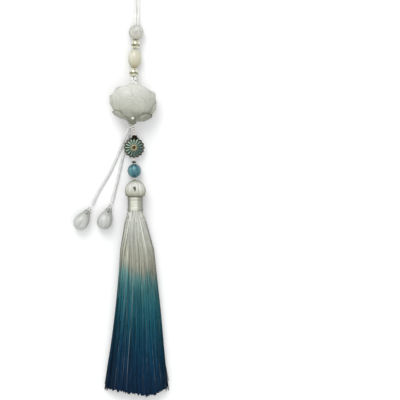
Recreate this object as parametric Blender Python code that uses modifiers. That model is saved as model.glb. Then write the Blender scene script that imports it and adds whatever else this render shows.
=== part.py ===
# Tassel waist pendant, laid flat: a cord loop, strung beads, a carved lotus bead,
# a ribbed coin bead, two drop cords with teardrop beads, and a silk tassel.
# Lengths in the tables are millimetres. +Z is up from the floor at z = 0, +Y points to the
# loop and +X to the right. The origin is on the floor, on the lotus bead's flat rest spot.
import math
import random

import bmesh
import bpy
import numpy as np
from mathutils import Matrix, Vector

MM = 0.001
GAP = 0.3
RIM_AT_BORE = 0.25

# Strung beads: across and along are the diameter and the length on the string
BORE_TWO_STRANDS = 3.3
BORE_THREAD = 1.2
TOP_BEAD = {"across": 8.8, "along": 8.8, "centre": (1.25, 42.3, 4.25)}
OVAL_BEAD = {"across": 7.9, "along": 12.2, "centre": (0.4, 26.9, 3.8)}
BLUE_BEAD = {"across": 8.1, "along": 8.3, "centre": (0.18, -39.4, 3.95)}
SPACER = {"across": 5.2, "along": 4.2, "end_across": 4.1}
SPACERS = {
    "spacer_bead_upper": {"centre": (0.95, 35.3, 4.1), "line": (0.045, 1.0, 0.03)},
    "spacer_bead_lower": {"centre": (-0.2, 18.3, 4.55), "line": (0.045, 1.0, -0.25)},
}
STRING_LEAN = (0.045, 1.0, 0.0)

# Two held strands of the loop's cord, side by side in the bores
CORD = 1.15
STRAND_PITCH = CORD + GAP
STRING_ROUTE = [
    (1.45, 45.2, 4.25),
    (1.25, 42.3, 4.25),
    (0.95, 35.3, 4.1),
    (0.6, 30.5, 3.85),
    (0.4, 26.9, 3.8),
    (0.15, 22.6, 3.8),
    (-0.05, 20.4, 4.05),
    (-0.2, 18.3, 4.55),
    (-0.2, 16.2, 5.1),
    (-0.12, 14.8, 5.9),
    (-0.05, 13.75, 6.75),
]

# The free loop of that cord: out of the top bead, down to the floor, round and back
LOOP_ROUTE = [
    (0.72, 45.5, 4.25),
    (0.75, 47.4, 4.2),
    (0.66, 49.6, 3.7),
    (0.62, 52.4, 2.3),
    (0.62, 55.4, 1.1),
    (0.62, 59.0, 0.62),
    (0.58, 63.6, 0.6),
    (0.1, 68.6, 0.6),
    (-0.9, 73.4, 0.6),
    (-1.35, 77.6, 0.6),
    (-0.3, 81.2, 0.6),
    (2.1, 82.7, 0.6),
    (4.4, 81.0, 0.6),
    (5.2, 77.2, 0.6),
    (4.5, 73.0, 0.6),
    (3.3, 68.2, 0.6),
    (2.95, 63.4, 0.6),
    (2.9, 59.0, 0.62),
    (2.85, 55.4, 1.1),
    (2.75, 52.4, 2.3),
    (2.45, 49.6, 3.7),
    (2.2, 47.4, 4.2),
    (2.17, 45.5, 4.25),
]

# Drop cords, from the knot under the lotus to the knots over the teardrop beads
DROP_CORD = 1.5
DROP_KNOT = {"across": 1.7, "centre": (-2.65, -13.25, 6.4)}
DROP_ROUTES = {
    "drop_cord_a": [
        (-3.2, -14.45, 7.0),
        (-3.95, -16.2, 6.0),
        (-4.75, -18.3, 4.6),
        (-5.7, -20.9, 2.9),
        (-7.0, -24.1, 1.45),
        (-8.6, -27.8, 0.85),
        (-10.3, -31.8, 0.77),
        (-12.0, -35.6, 0.77),
        (-13.8, -39.5, 0.77),
        (-15.7, -43.0, 0.77),
        (-17.8, -46.4, 0.77),
        (-19.8, -49.7, 0.77),
        (-21.7, -53.1, 0.8),
        (-23.4, -56.4, 1.1),
        (-24.9, -59.55, 1.75),
    ],
    "drop_cord_b": [
        (-2.5, -14.55, 5.4),
        (-2.62, -16.4, 4.3),
        (-2.8, -18.5, 2.9),
        (-3.15, -20.6, 1.6),
        (-3.9, -23.0, 0.9),
        (-4.95, -25.8, 0.77),
        (-6.0, -28.9, 0.77),
        (-6.9, -32.2, 0.77),
        (-7.75, -35.8, 0.77),
        (-8.55, -39.4, 0.77),
        (-9.4, -43.2, 0.77),
        (-10.3, -47.0, 0.77),
        (-11.3, -50.9, 0.8),
        (-12.3, -54.7, 1.05),
        (-13.2, -58.1, 1.7),
    ],
}

# Teardrop beads: the centre is the fat end's, and heading is measured from +Y to the right
DROP_BEAD = {"radius": 4.4, "tip": 8.6, "back": 4.4, "dip_deg": 12.0, "hole": 6.2}
DROP_FULLNESS = 0.77
DROPS = {
    "a": {"centre": (-31.5, -70.1, 4.27), "heading_deg": 32.0},
    "b": {"centre": (-17.5, -69.7, 4.27), "heading_deg": 20.0},
}
DROP_THREAD = 0.45
DROP_HOLE = 1.1
END_KNOT = {"across": 1.7, "along": 1.8, "reach": 11.0}

# Lotus bead: heights run along its axis from its middle, and depth squeezes the round form
LOTUS_CENTRE = (-0.45, 1.1, 8.05)
LOTUS_LEAN_DEG = 3.0
LOTUS_DEPTH = 0.585
LOTUS_BORE = 1.9
LOTUS_KNOT_SEAT = [(LOTUS_BORE / 2, 8.0), (1.5, 8.7), (2.0, 9.6)]
LOTUS_ROUND_CORE = 2.0
LOTUS_SQUEEZED_FROM = 6.0
LOTUS_SIDES = 42
LOTUS_RINGS = 26
LOTUS_PROFILE = [
    {"height": 10.6, "radius": 2.5},
    {"height": 10.2, "radius": 4.3},
    {"height": 9.6, "radius": 6.4},
    {"height": 8.8, "radius": 8.5},
    {"height": 7.7, "radius": 10.4},
    {"height": 6.2, "radius": 11.8},
    {"height": 4.5, "radius": 12.5},
    {"height": 2.5, "radius": 12.8},
    {"height": 0.0, "radius": 12.8},
    {"height": -2.5, "radius": 12.3},
    {"height": -5.0, "radius": 11.2},
    {"height": -7.0, "radius": 9.6},
    {"height": -8.8, "radius": 7.2},
    {"height": -9.9, "radius": 4.9},
    {"height": -11.2, "radius": 3.1},
    {"height": -13.0, "radius": 2.0},
]
LOTUS_TIERS = [
    {"turn_deg": 60, "tip": 9.6, "valley": 4.5, "proud": 0.45, "power": 2.0, "fade": 3.0},
    {"turn_deg": 90, "tip": 3.6, "valley": -3.0, "proud": 1.35, "power": 4.0, "fade": -9.0},
    {"turn_deg": 60, "tip": -5.0, "valley": -9.0, "proud": 1.0, "power": 2.5, "fade": -10.5},
]
PETALS = 6
RIM_SOFTNESS = 0.7
LOTUS_KNOT = {"across": 3.0, "along": 3.0, "centre": (0.05, 11.7, 7.9)}
LOTUS_SEED = {"across": 1.8, "centre": (-0.5, -8.6, 11.7)}

# Stringing thread and the small beads on it, lotus to tassel head
THREAD = 0.6
THREAD_ROUTE = [
    (0.0, 9.7, 8.05),
    (-0.25, 4.0, 8.05),
    (-0.65, -4.0, 8.05),
    (-0.95, -11.6, 8.0),
    (-0.75, -12.9, 7.5),
    (-0.35, -14.4, 6.6),
    (0.0, -15.9, 5.6),
    (0.2, -17.4, 4.75),
    (0.35, -19.3, 4.2),
    (0.15, -25.7, 4.1),
    (-0.1, -31.8, 4.0),
    (-0.05, -34.9, 3.95),
    (0.18, -39.4, 3.95),
    (0.28, -43.3, 3.97),
    (0.42, -44.3, 4.35),
    (0.65, -45.2, 4.85),
    (0.76, -46.2, 5.1),
    (0.78, -47.2, 5.12),
]
SEED = {"across": 2.0, "along": 1.5625}
SEED_STATIONS = {
    "link_bead_1": (-0.8, -12.75, 7.55),
    "link_bead_2": (-0.35, -14.4, 6.6),
    "link_bead_3": (0.0, -15.95, 5.6),
    "link_bead_4": (0.2, -17.45, 4.75),
    "pink_bead": (-0.1, -32.75, 4.0),
    "tassel_link_bead": (0.42, -44.3, 4.35),
}
SEED_LINES = {
    "link_bead_1": (-0.25, 1.0, 0.6),
    "link_bead_2": (-0.22, 1.0, 0.62),
    "link_bead_3": (-0.17, 1.0, 0.6),
    "link_bead_4": (-0.1, 1.0, 0.45),
    "pink_bead": (0.04, 1.0, 0.02),
    "tassel_link_bead": (-0.15, 1.0, -0.42),
}
COLLAR = {"across": 2.8, "along": 0.9, "centre": (-0.08, -34.3, 3.95)}

# Coin bead and its cap
COIN = {"radius": 6.05, "half": 2.3, "centre": (0.05, -25.75, 4.1)}
COIN_RIBS = 16
COIN_SCALLOP = 0.035
COIN_FURROW = 0.3
COIN_DIMPLE = {"radius": 0.16, "depth": 0.55}
CAP = {"top": 2.5, "bottom": 4.2, "along": 2.3, "bore": 1.7, "centre": (0.35, -19.6, 4.2)}

# Tassel: the head is turned about its axis, and the skirt's strands grow from its underside
HEAD_AXIS = (0.78, 5.98)
HEAD_PROFILE = [
    {"y": -63.4, "radius": 3.7, "drop": 0.0},
    {"y": -54.75, "radius": 3.7, "drop": 0.0},
    {"y": -54.3, "radius": 5.15, "drop": 0.0},
    {"y": -53.2, "radius": 5.75, "drop": 0.0},
    {"y": -50.7, "radius": 6.1, "drop": 0.0},
    {"y": -48.4, "radius": 5.8, "drop": 0.1},
    {"y": -46.6, "radius": 4.7, "drop": 0.35},
    {"y": -45.5, "radius": 3.1, "drop": 0.7},
    {"y": -45.1, "radius": 1.5, "drop": 0.85},
    {"y": -45.35, "radius": 0.75, "drop": 0.87},
    {"y": -47.8, "radius": 0.75, "drop": 0.87},
]
WRAP = {"inner": 4.0, "outer": 4.45, "rim": 4.62, "top": -55.05, "bottom": -63.1}
STRAND_COLUMNS = 21
STRAND_ROWS = 7
STRAND_FILL = 0.7
SKIRT = [
    {"y": -63.75, "x": 0.85, "half_width": 4.75, "low": 1.23, "high": 10.73, "spread": 0.0},
    {"y": -73.5, "x": 1.2, "half_width": 7.2, "low": 0.5, "high": 9.6, "spread": 0.4},
    {"y": -91.0, "x": 1.85, "half_width": 10.4, "low": 0.0, "high": 8.2, "spread": 0.9},
    {"y": -170.6, "x": 1.85, "half_width": 18.9, "low": 0.0, "high": 6.6, "spread": 1.0},
]
CROWN_FALL = 0.5
HEM_RISE = 4.6
HEM_UNEVEN = 0.9

COLOURS = {
    "satin_cord": ((0.86, 0.86, 0.83), 0.45, 0.0),
    "drop_cord": ((0.72, 0.72, 0.7), 0.6, 0.0),
    "thread": ((0.75, 0.74, 0.7), 0.6, 0.0),
    "grey_agate": ((0.6, 0.6, 0.56), 0.2, 0.0),
    "pale_metal": ((0.72, 0.7, 0.58), 0.25, 1.0),
    "cream_shell": ((0.72, 0.68, 0.54), 0.25, 0.0),
    "milky_glass": ((0.74, 0.75, 0.7), 0.25, 0.0),
    "seed_glass": ((0.85, 0.83, 0.8), 0.2, 0.0),
    "dark_bronze": ((0.06, 0.05, 0.03), 0.4, 1.0),
    "green_enamel": ((0.03, 0.22, 0.14), 0.25, 0.2),
    "blue_agate": ((0.09, 0.29, 0.35), 0.2, 0.0),
    "silk": ((0.8, 0.8, 0.7), 0.5, 0.0),
    "wrap_silk": ((0.7, 0.7, 0.63), 0.35, 0.0),
    "drop_agate": ((0.55, 0.56, 0.52), 0.2, 0.0),
}


def start_scene():
    for old in list(bpy.data.objects):
        bpy.data.objects.remove(old, do_unlink=True)
    collections = {}
    for title in ("tassel_waist_pendant", "cutters"):
        collections[title] = bpy.data.collections.new(title)
        bpy.context.scene.collection.children.link(collections[title])
    return collections


def make_materials():
    made = {}
    for title, (colour, roughness, metallic) in COLOURS.items():
        material = bpy.data.materials.new(title)
        material.use_nodes = True
        shader = material.node_tree.nodes["Principled BSDF"]
        shader.inputs["Base Color"].default_value = (*colour, 1.0)
        shader.inputs["Roughness"].default_value = roughness
        shader.inputs["Metallic"].default_value = metallic
        made[title] = material
    return made


collections = start_scene()
materials = make_materials()


def metres(point):
    return Vector(point) * MM


def add_part(name, mesh, material, smooth_deg=40.0):
    mesh.materials.clear()
    mesh.materials.append(materials[material])
    mesh.shade_smooth()
    mesh.set_sharp_from_angle(angle=math.radians(smooth_deg))
    part = bpy.data.objects.new(name, mesh)
    collections["tassel_waist_pendant"].objects.link(part)
    return part


def add_cutter(name, mesh):
    cutter = bpy.data.objects.new(name, mesh)
    cutter.hide_render = True
    cutter.display_type = "WIRE"
    collections["cutters"].objects.link(cutter)
    return cutter


def mesh_from(name, bm):
    mesh = bpy.data.meshes.new(name)
    bm.to_mesh(mesh)
    bm.free()
    return mesh


def aim(part, centre, direction):
    """Places a part made along its own Z with its middle at centre, along direction."""
    part.location = metres(centre)
    part.rotation_mode = "QUATERNION"
    part.rotation_quaternion = Vector(direction).normalized().to_track_quat("Z", "Y")


def cut(part, cutter):
    boolean = part.modifiers.new("cut_" + cutter.name, "BOOLEAN")
    boolean.operation = "DIFFERENCE"
    boolean.solver = "EXACT"
    boolean.object = cutter


def turned_part(name, outer, bore, steps, material):
    """Turns an outer profile (radius, height; top to bottom) round a round bore."""
    bm = bmesh.new()
    loop = [*outer, (bore / 2, outer[-1][1]), (bore / 2, outer[0][1])]
    corners = [bm.verts.new((radius * MM, 0, height * MM)) for radius, height in loop]
    for here, after in zip(corners, corners[1:] + corners[:1]):
        bm.edges.new((here, after))
    part = add_part(name, mesh_from(name, bm), material)
    screw = part.modifiers.new("turn", "SCREW")
    screw.steps = steps
    screw.render_steps = steps
    screw.use_merge_vertices = True
    screw.merge_threshold = 0.000001
    return part


def round_profile(across, along, bore, points):
    """The outer side of a bead, as an ellipse that stops at its bore."""
    end = math.asin((bore / 2 + RIM_AT_BORE) / (across / 2))
    angles = np.linspace(end, math.pi - end, points)
    return [(across / 2 * math.sin(t), along / 2 * math.cos(t)) for t in angles]


def smooth_route(points, spacing):
    """Points at an even spacing on a smooth curve through the route's points, in mm."""
    nodes = [Vector(p) for p in points]
    nodes = [2 * nodes[0] - nodes[1], *nodes, 2 * nodes[-1] - nodes[-2]]
    fine = []
    for a, b, c, d in zip(nodes, nodes[1:], nodes[2:], nodes[3:]):
        for t in np.linspace(0, 1, 12, endpoint=False):
            fine.append(
                0.5 * (2 * b + (c - a) * t + (2 * a - 5 * b + 4 * c - d) * t**2
                       + (3 * b - a - 3 * c + d) * t**3)
            )
    fine.append(nodes[-2])
    along = np.concatenate([[0], np.cumsum([(q - p).length for p, q in zip(fine, fine[1:])])])
    stations = np.linspace(0, along[-1], max(3, round(along[-1] / spacing) + 1))
    axes = [np.interp(stations, along, [p[k] for p in fine]) for k in range(3)]
    return [Vector(p) for p in zip(*axes)]


def cord_part(name, points, diameter, material, cyclic=False):
    """A round tube along the points, as a mesh with welded caps."""
    curve = bpy.data.curves.new(name, "CURVE")
    curve.dimensions = "3D"
    curve.bevel_depth = diameter / 2 * MM
    curve.bevel_resolution = 2
    curve.use_fill_caps = not cyclic
    spline = curve.splines.new("POLY")
    spline.points.add(len(points) - 1)
    spline.use_cyclic_u = cyclic
    for spot, point in zip(spline.points, points):
        spot.co = (*metres(point), 1.0)
    guide = bpy.data.objects.new(name + "_guide", curve)
    collections["cutters"].objects.link(guide)
    graph = bpy.context.evaluated_depsgraph_get()
    mesh = bpy.data.meshes.new_from_object(guide.evaluated_get(graph))
    bpy.data.objects.remove(guide, do_unlink=True)
    bm = bmesh.new()
    bm.from_mesh(mesh)
    bmesh.ops.remove_doubles(bm, verts=bm.verts[:], dist=0.000001)
    bm.to_mesh(mesh)
    bm.free()
    mesh.name = name
    return add_part(name, mesh, material, 60)


def reshaped_sphere(segments, rings, shape):
    """A unit sphere whose points are moved by shape, which works in mm."""
    bm = bmesh.new()
    bmesh.ops.create_uvsphere(bm, u_segments=segments, v_segments=rings, radius=1.0)
    for point in bm.verts:
        point.co = metres(shape(point.co))
    return bm


def rod(diameter, length, sides):
    bm = bmesh.new()
    bmesh.ops.create_cone(
        bm, cap_ends=True, segments=sides, radius1=diameter / 2 * MM,
        radius2=diameter / 2 * MM, depth=length * MM,
    )
    return bm


def make_floor_cutter():
    bm = bmesh.new()
    bmesh.ops.create_cube(bm, size=1.0)
    bmesh.ops.scale(bm, vec=(0.3, 0.6, 0.02), verts=bm.verts[:])
    bmesh.ops.translate(bm, vec=(0, 0, -0.01), verts=bm.verts[:])
    return add_cutter("floor_cutter", mesh_from("floor_cutter", bm))


def string_beads(floor_cutter):
    """The beads above the lotus, and the blue bead over the tassel."""
    for name, bead, material, bore, line in (
        ("top_bead", TOP_BEAD, "grey_agate", BORE_TWO_STRANDS, STRING_LEAN),
        ("oval_bead", OVAL_BEAD, "cream_shell", BORE_TWO_STRANDS, STRING_LEAN),
        ("blue_bead", BLUE_BEAD, "blue_agate", BORE_THREAD, (0, 1, 0)),
    ):
        outer = round_profile(bead["across"], bead["along"], bore, 10)
        part = turned_part(name, outer, bore, 18, material)
        aim(part, bead["centre"], line)
        cut(part, floor_cutter)
    ends, half = SPACER["end_across"] / 2, SPACER["along"] / 2
    for name, place in SPACERS.items():
        outer = [(ends, half)]
        for t in np.linspace(0.25 * math.pi, 0.75 * math.pi, 5):
            outer.append((SPACER["across"] / 2 * math.sin(t) ** 0.5, half * math.cos(t) * 1.1))
        outer.append((ends, -half))
        spacer = turned_part(name, outer, BORE_TWO_STRANDS, 16, "pale_metal")
        aim(spacer, place["centre"], place["line"])


def string_strands():
    """The two held strands from inside the top bead to the knot on the lotus."""
    for name, side in (("string_left", -1), ("string_right", 1)):
        route = [(x + side * STRAND_PITCH / 2, y, z) for x, y, z in STRING_ROUTE]
        cord_part(name, smooth_route(route, 2.8), CORD, "satin_cord")


def small_knot(name, across, along, centre, direction, material):
    half, radius = along / 2, across / 2
    bm = reshaped_sphere(10, 7, lambda p: (p.x * radius, p.y * radius, p.z * half))
    aim(add_part(name, mesh_from(name, bm), material, 70), centre, direction)


def rim_height(angle, tier):
    """Height of a tier's edge: its petals' tips, and the valleys between them."""
    step = 2 * math.pi / PETALS
    across = abs((angle - math.radians(tier["turn_deg"])) / step % 1 - 0.5) * 2
    return tier["valley"] + (tier["tip"] - tier["valley"]) * (1 - (1 - across) ** tier["power"])


def lotus_radius(angle, height, radius):
    """The smooth form's radius, with every tier that reaches this height standing proud."""
    for tier in LOTUS_TIERS:
        inside = (rim_height(angle, tier) - height) / RIM_SOFTNESS
        fading = (height - tier["fade"]) / (tier["tip"] - tier["fade"])
        cover = min(max(inside, 0.0), 1.0) * min(max(fading * 2, 0.0), 1.0)
        radius += tier["proud"] * cover
    return radius


def make_lotus(floor_cutter):
    rows = LOTUS_PROFILE
    heights = np.linspace(rows[0]["height"], rows[-1]["height"], LOTUS_RINGS)
    table = [row["height"] for row in rows[::-1]], [row["radius"] for row in rows[::-1]]
    outer = [(float(np.interp(h, *table)), float(h)) for h in heights]
    bore = [(LOTUS_BORE / 2, heights[-1]), *LOTUS_KNOT_SEAT]
    bm = bmesh.new()
    ring = [bm.verts.new((radius * MM, 0, height * MM)) for radius, height in outer + bore]
    edges = [bm.edges.new(pair) for pair in zip(ring, ring[1:] + ring[:1])]
    bmesh.ops.spin(
        bm, geom=ring + edges, cent=(0, 0, 0), axis=(0, 0, 1), angle=2 * math.pi,
        steps=LOTUS_SIDES, use_merge=True,
    )
    bmesh.ops.remove_doubles(bm, verts=bm.verts[:], dist=0.000001)
    for point in bm.verts:
        radius, height = math.hypot(point.co.x, point.co.y) / MM, point.co.z / MM
        if radius > LOTUS_ROUND_CORE + 0.05:
            angle = math.atan2(point.co.y, point.co.x)
            point.co.xy *= lotus_radius(angle, height, radius) / radius
        core = (LOTUS_SQUEEZED_FROM - radius) / (LOTUS_SQUEEZED_FROM - LOTUS_ROUND_CORE)
        point.co.y *= LOTUS_DEPTH + (1 - LOTUS_DEPTH) * min(max(core, 0), 1)
    bmesh.ops.recalc_face_normals(bm, faces=bm.faces[:])
    lotus = add_part("lotus", mesh_from("lotus", bm), "milky_glass", 50)
    lotus.location = metres(LOTUS_CENTRE)
    lean = Matrix.Rotation(math.radians(-LOTUS_LEAN_DEG), 4, "Z")
    lotus.rotation_euler = (lean @ Matrix.Rotation(math.radians(-90), 4, "X")).to_euler()
    cut(lotus, floor_cutter)
    seed = LOTUS_SEED["across"] / 2
    pocket = reshaped_sphere(10, 7, lambda p: p * (seed + GAP))
    seat = add_cutter("seed_seat", mesh_from("seed_seat", pocket))
    seat.location = metres(LOTUS_SEED["centre"])
    cut(lotus, seat)
    bm = reshaped_sphere(10, 7, lambda p: p * seed)
    add_part("lotus_seed", mesh_from("lotus_seed", bm), "seed_glass").location = seat.location


def thread_small_beads():
    cord_part("stringing_thread", smooth_route(THREAD_ROUTE, 2.3), THREAD, "thread")
    for name, centre in SEED_STATIONS.items():
        outer = round_profile(SEED["across"], SEED["along"], BORE_THREAD, 5)
        aim(turned_part(name, outer, BORE_THREAD, 10, "seed_glass"), centre, SEED_LINES[name])
    half = COLLAR["along"] / 2
    radius = COLLAR["across"] / 2
    outer = [(radius - 0.4, half), (radius, 0), (radius - 0.2, -half)]
    collar = turned_part("collar", outer, BORE_THREAD, 12, "dark_bronze")
    aim(collar, COLLAR["centre"], (0, 1, 0))


def coin_shape(point, growth=0.0):
    """A ribbed lens with a scalloped edge and a dimple in the middle of each face."""
    reach = math.hypot(point.x, point.y)
    ribs = math.cos(COIN_RIBS * math.atan2(point.y, point.x))
    radius = (COIN["radius"] + growth) * (1 + COIN_SCALLOP * ribs * reach)
    height = (COIN["half"] + growth) * abs(point.z) ** 0.7
    height -= COIN_FURROW * (1 - ribs) / 2 * min(1.0, reach * 2) * min(1.0, abs(point.z) * 3)
    if reach < COIN_DIMPLE["radius"] and not growth:
        height -= COIN_DIMPLE["depth"]
    return Vector((point.x * radius, point.y * radius, math.copysign(height, point.z)))


def make_coin():
    centre = metres(COIN["centre"])
    bm = reshaped_sphere(4 * COIN_RIBS, 10, coin_shape)
    coin = add_part("coin_bead", mesh_from("coin_bead", bm), "green_enamel", 30)
    coin.location = centre
    drill = add_cutter("coin_drill", mesh_from("coin_drill", rod(BORE_THREAD, 20, 12)))
    aim(drill, COIN["centre"], (0.02, 1.0, 0.0))
    cut(coin, drill)
    bm = reshaped_sphere(4 * COIN_RIBS, 12, lambda p: coin_shape(p, 0.35))
    grown = add_cutter("coin_clearance", mesh_from("coin_clearance", bm))
    grown.location = centre
    half = CAP["along"] / 2
    outer = [(CAP["top"] / 2, half), (CAP["top"] / 2 + 0.25, half * 0.4),
             (CAP["bottom"] / 2 - 0.2, -half * 0.2), (CAP["bottom"] / 2, -half)]
    cap = turned_part("coin_cap", outer, CAP["bore"], 14, "dark_bronze")
    aim(cap, CAP["centre"], (0, 1, 0))
    cut(cap, grown)


def skirt_point(row, across, up):
    """A place in the skirt's section: a disc at its root, a flat-bottomed heap further down."""
    middle, half_high = (row["low"] + row["high"]) / 2, (row["high"] - row["low"]) / 2
    disc_x = across * math.sqrt(1 - up * up / 2)
    disc_z = middle + half_high * up * math.sqrt(1 - across * across / 2)
    heap = (row["high"] - row["low"]) * (1 - CROWN_FALL * abs(across) ** 2.5)
    heap_z = row["low"] + heap * (up + 1) / 2
    x = row["x"] + row["half_width"] * (disc_x + (across - disc_x) * row["spread"])
    return x, disc_z + (heap_z - disc_z) * row["spread"]


def strand_section(face):
    """A cell's corners, drawn in so that strands stand apart and the outer ones stay flush."""
    middle = face.calc_center_median()
    flush_across = 1 - (1 - STRAND_FILL) / STRAND_COLUMNS
    flush_up = 1 - (1 - STRAND_FILL) / STRAND_ROWS
    corners = []
    for point in face.verts:
        across = middle.x + (point.co.x - middle.x) * STRAND_FILL
        up = middle.y + (point.co.y - middle.y) * STRAND_FILL
        corners.append((across / flush_across, up / flush_up))
    return corners


def place_section(points, corners, row, further=0.0):
    """Puts points at a station of the skirt, the hem's curving up towards its ends."""
    for point, (across, up) in zip(points, corners):
        x, z = skirt_point(row, across, up)
        rise = HEM_RISE * across * across if row is SKIRT[-1] else 0.0
        point.co = metres((x, row["y"] + rise + further, max(z, 0.0)))


def grow_strand(bm, face, corners, uneven):
    """Sets one cell in from its neighbours and extrudes it down the skirt's stations."""
    bmesh.ops.inset_individual(bm, faces=[face], thickness=0.0)
    place_section(face.verts, corners, SKIRT[0])
    for row in SKIRT[1:]:
        face = bmesh.ops.extrude_discrete_faces(bm, faces=[face])["faces"][0]
        place_section(face.verts, corners, row, uneven if row is SKIRT[-1] else 0.0)


def turn_up_head(bm):
    """Extrudes the grid's rim ring by ring into the neck, the head and the thread's hole."""
    rim = [edge for edge in bm.edges if edge.is_boundary]
    across, middle = HEAD_AXIS
    drop = 0.0
    for row in HEAD_PROFILE:
        extruded = bmesh.ops.extrude_edge_only(bm, edges=rim)["geom"]
        rim = [item for item in extruded if isinstance(item, bmesh.types.BMEdge)]
        for point in [item for item in extruded if isinstance(item, bmesh.types.BMVert)]:
            out = Vector((point.co.x / MM - across, point.co.z / MM - middle + drop))
            out = out.normalized() * row["radius"]
            level = max(middle - row["drop"] + out.y, 0.0)
            point.co = metres((across + out.x, row["y"], level))
        drop = row["drop"]
    bmesh.ops.contextual_create(bm, geom=rim)


def make_tassel():
    """One body: a grid is the head's underside, and each of its cells grows a strand."""
    uneven = random.Random(7)
    bm = bmesh.new()
    bmesh.ops.create_grid(bm, x_segments=STRAND_COLUMNS, y_segments=STRAND_ROWS, size=1.0)
    strands = {}
    for face in bm.faces:
        corner_cell = max(min(abs(point.co.x), abs(point.co.y)) for point in face.verts) > 0.99
        if not corner_cell:
            strands[face] = strand_section(face)
    place_section(bm.verts, [(point.co.x, point.co.y) for point in bm.verts], SKIRT[0])
    turn_up_head(bm)
    for face, corners in strands.items():
        grow_strand(bm, face, corners, uneven.uniform(-HEM_UNEVEN, HEM_UNEVEN))
    bmesh.ops.recalc_face_normals(bm, faces=bm.faces[:])
    add_part("tassel", mesh_from("tassel", bm), "silk", 40)


def make_wrap():
    """The wound neck: a plain ring with a raised turn at each end."""
    middle = (WRAP["top"] + WRAP["bottom"]) / 2
    half = (WRAP["top"] - WRAP["bottom"]) / 2
    outer = [(WRAP["outer"], half), (WRAP["rim"], half - 0.5), (WRAP["outer"], half - 1.1),
             (WRAP["outer"], 1.4 - half), (WRAP["rim"], 0.7 - half), (WRAP["outer"], -half)]
    wrap = turned_part("tassel_wrap", outer, WRAP["inner"] * 2, 28, "wrap_silk")
    aim(wrap, (HEAD_AXIS[0], middle, HEAD_AXIS[1]), (0, 1, 0))


def drop_shape(point):
    """A teardrop: fat end down its own -Z, tip up its +Z."""
    tilt = math.acos(max(-1.0, min(1.0, point.z)))
    half = (DROP_BEAD["tip"] + DROP_BEAD["back"]) / 2
    middle = (DROP_BEAD["tip"] - DROP_BEAD["back"]) / 2
    radius = DROP_BEAD["radius"] / DROP_FULLNESS * math.sin(tilt / 2)
    return Vector((point.x * radius, point.y * radius, middle + half * math.cos(tilt)))


def make_drop(letter, floor_cutter):
    """A teardrop bead, its cross hole, the thread loop through it and the cord's end knot."""
    drop = DROPS[letter]
    heading, dip = math.radians(drop["heading_deg"]), math.radians(DROP_BEAD["dip_deg"])
    flat = Vector((math.sin(heading), math.cos(heading), 0))
    side = Vector((flat.y, -flat.x, 0))
    ahead = flat * math.cos(dip) - Vector((0, 0, math.sin(dip)))
    centre = Vector(drop["centre"])
    bm = reshaped_sphere(16, 12, drop_shape)
    bead = add_part("drop_bead_" + letter, mesh_from("drop_bead_" + letter, bm), "drop_agate")
    aim(bead, centre, ahead)
    drill = add_cutter("drop_drill_" + letter, mesh_from("drop_drill", rod(DROP_HOLE, 12, 10)))
    aim(drill, centre + ahead * DROP_BEAD["hole"], side)
    cut(bead, drill)
    cut(bead, floor_cutter)
    hole = DROP_BEAD["hole"]
    half_loop = [(hole, 0.0), (hole, 1.2), (hole + 0.05, 2.1), (hole + 0.6, 2.55),
                 (hole + 1.4, 2.2), (hole + 2.2, 1.45), (hole + 2.9, 0.75), (hole + 3.2, 0.0)]
    loop = half_loop + [(reach, -away) for reach, away in half_loop[-2:0:-1]]
    points = [centre + ahead * reach + side * away for reach, away in loop]
    cord_part("drop_thread_" + letter, points, DROP_THREAD, "thread", cyclic=True)
    small_knot(
        "drop_end_knot_" + letter, END_KNOT["across"], END_KNOT["along"],
        centre + ahead * END_KNOT["reach"], flat, "drop_cord",
    )


def main():
    floor_cutter = make_floor_cutter()
    cord_part("loop_cord", smooth_route(LOOP_ROUTE, 2.9), CORD, "satin_cord")
    string_beads(floor_cutter)
    string_strands()
    knot = LOTUS_KNOT
    small_knot("lotus_knot", knot["across"], knot["along"], knot["centre"], (0, 1, 0.1), "satin_cord")
    make_lotus(floor_cutter)
    thread_small_beads()
    make_coin()
    make_tassel()
    make_wrap()
    across = DROP_KNOT["across"]
    small_knot("drop_knot", across, across, DROP_KNOT["centre"], (0.3, 1, 0.6), "drop_cord")
    for name, route in DROP_ROUTES.items():
        cord_part(name, smooth_route(route, 3.6), DROP_CORD, "drop_cord")
    for letter in DROPS:
        make_drop(letter, floor_cutter)


main()
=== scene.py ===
import math
import random

import bmesh
import bpy
import numpy as np
from mathutils import Matrix, Vector, noise


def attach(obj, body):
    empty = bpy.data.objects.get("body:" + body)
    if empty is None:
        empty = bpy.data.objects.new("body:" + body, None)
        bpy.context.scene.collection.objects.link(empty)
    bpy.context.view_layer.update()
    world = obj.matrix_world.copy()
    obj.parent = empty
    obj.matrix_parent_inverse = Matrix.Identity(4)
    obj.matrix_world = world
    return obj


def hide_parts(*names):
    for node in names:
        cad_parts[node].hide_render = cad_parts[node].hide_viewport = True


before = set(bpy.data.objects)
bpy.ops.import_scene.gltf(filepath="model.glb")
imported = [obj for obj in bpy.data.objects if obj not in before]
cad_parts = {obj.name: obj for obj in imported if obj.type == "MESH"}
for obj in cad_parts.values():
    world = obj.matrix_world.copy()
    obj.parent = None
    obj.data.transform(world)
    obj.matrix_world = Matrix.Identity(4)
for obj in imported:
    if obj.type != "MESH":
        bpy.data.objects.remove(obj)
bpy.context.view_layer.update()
mm = 0.001

# Camera straight above, far off with a long lens

cameraSettings = {"overX": 38.94, "overY": -56.64, "level": 5.0, "away": 1600.0, "wide": 236.0}


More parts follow.
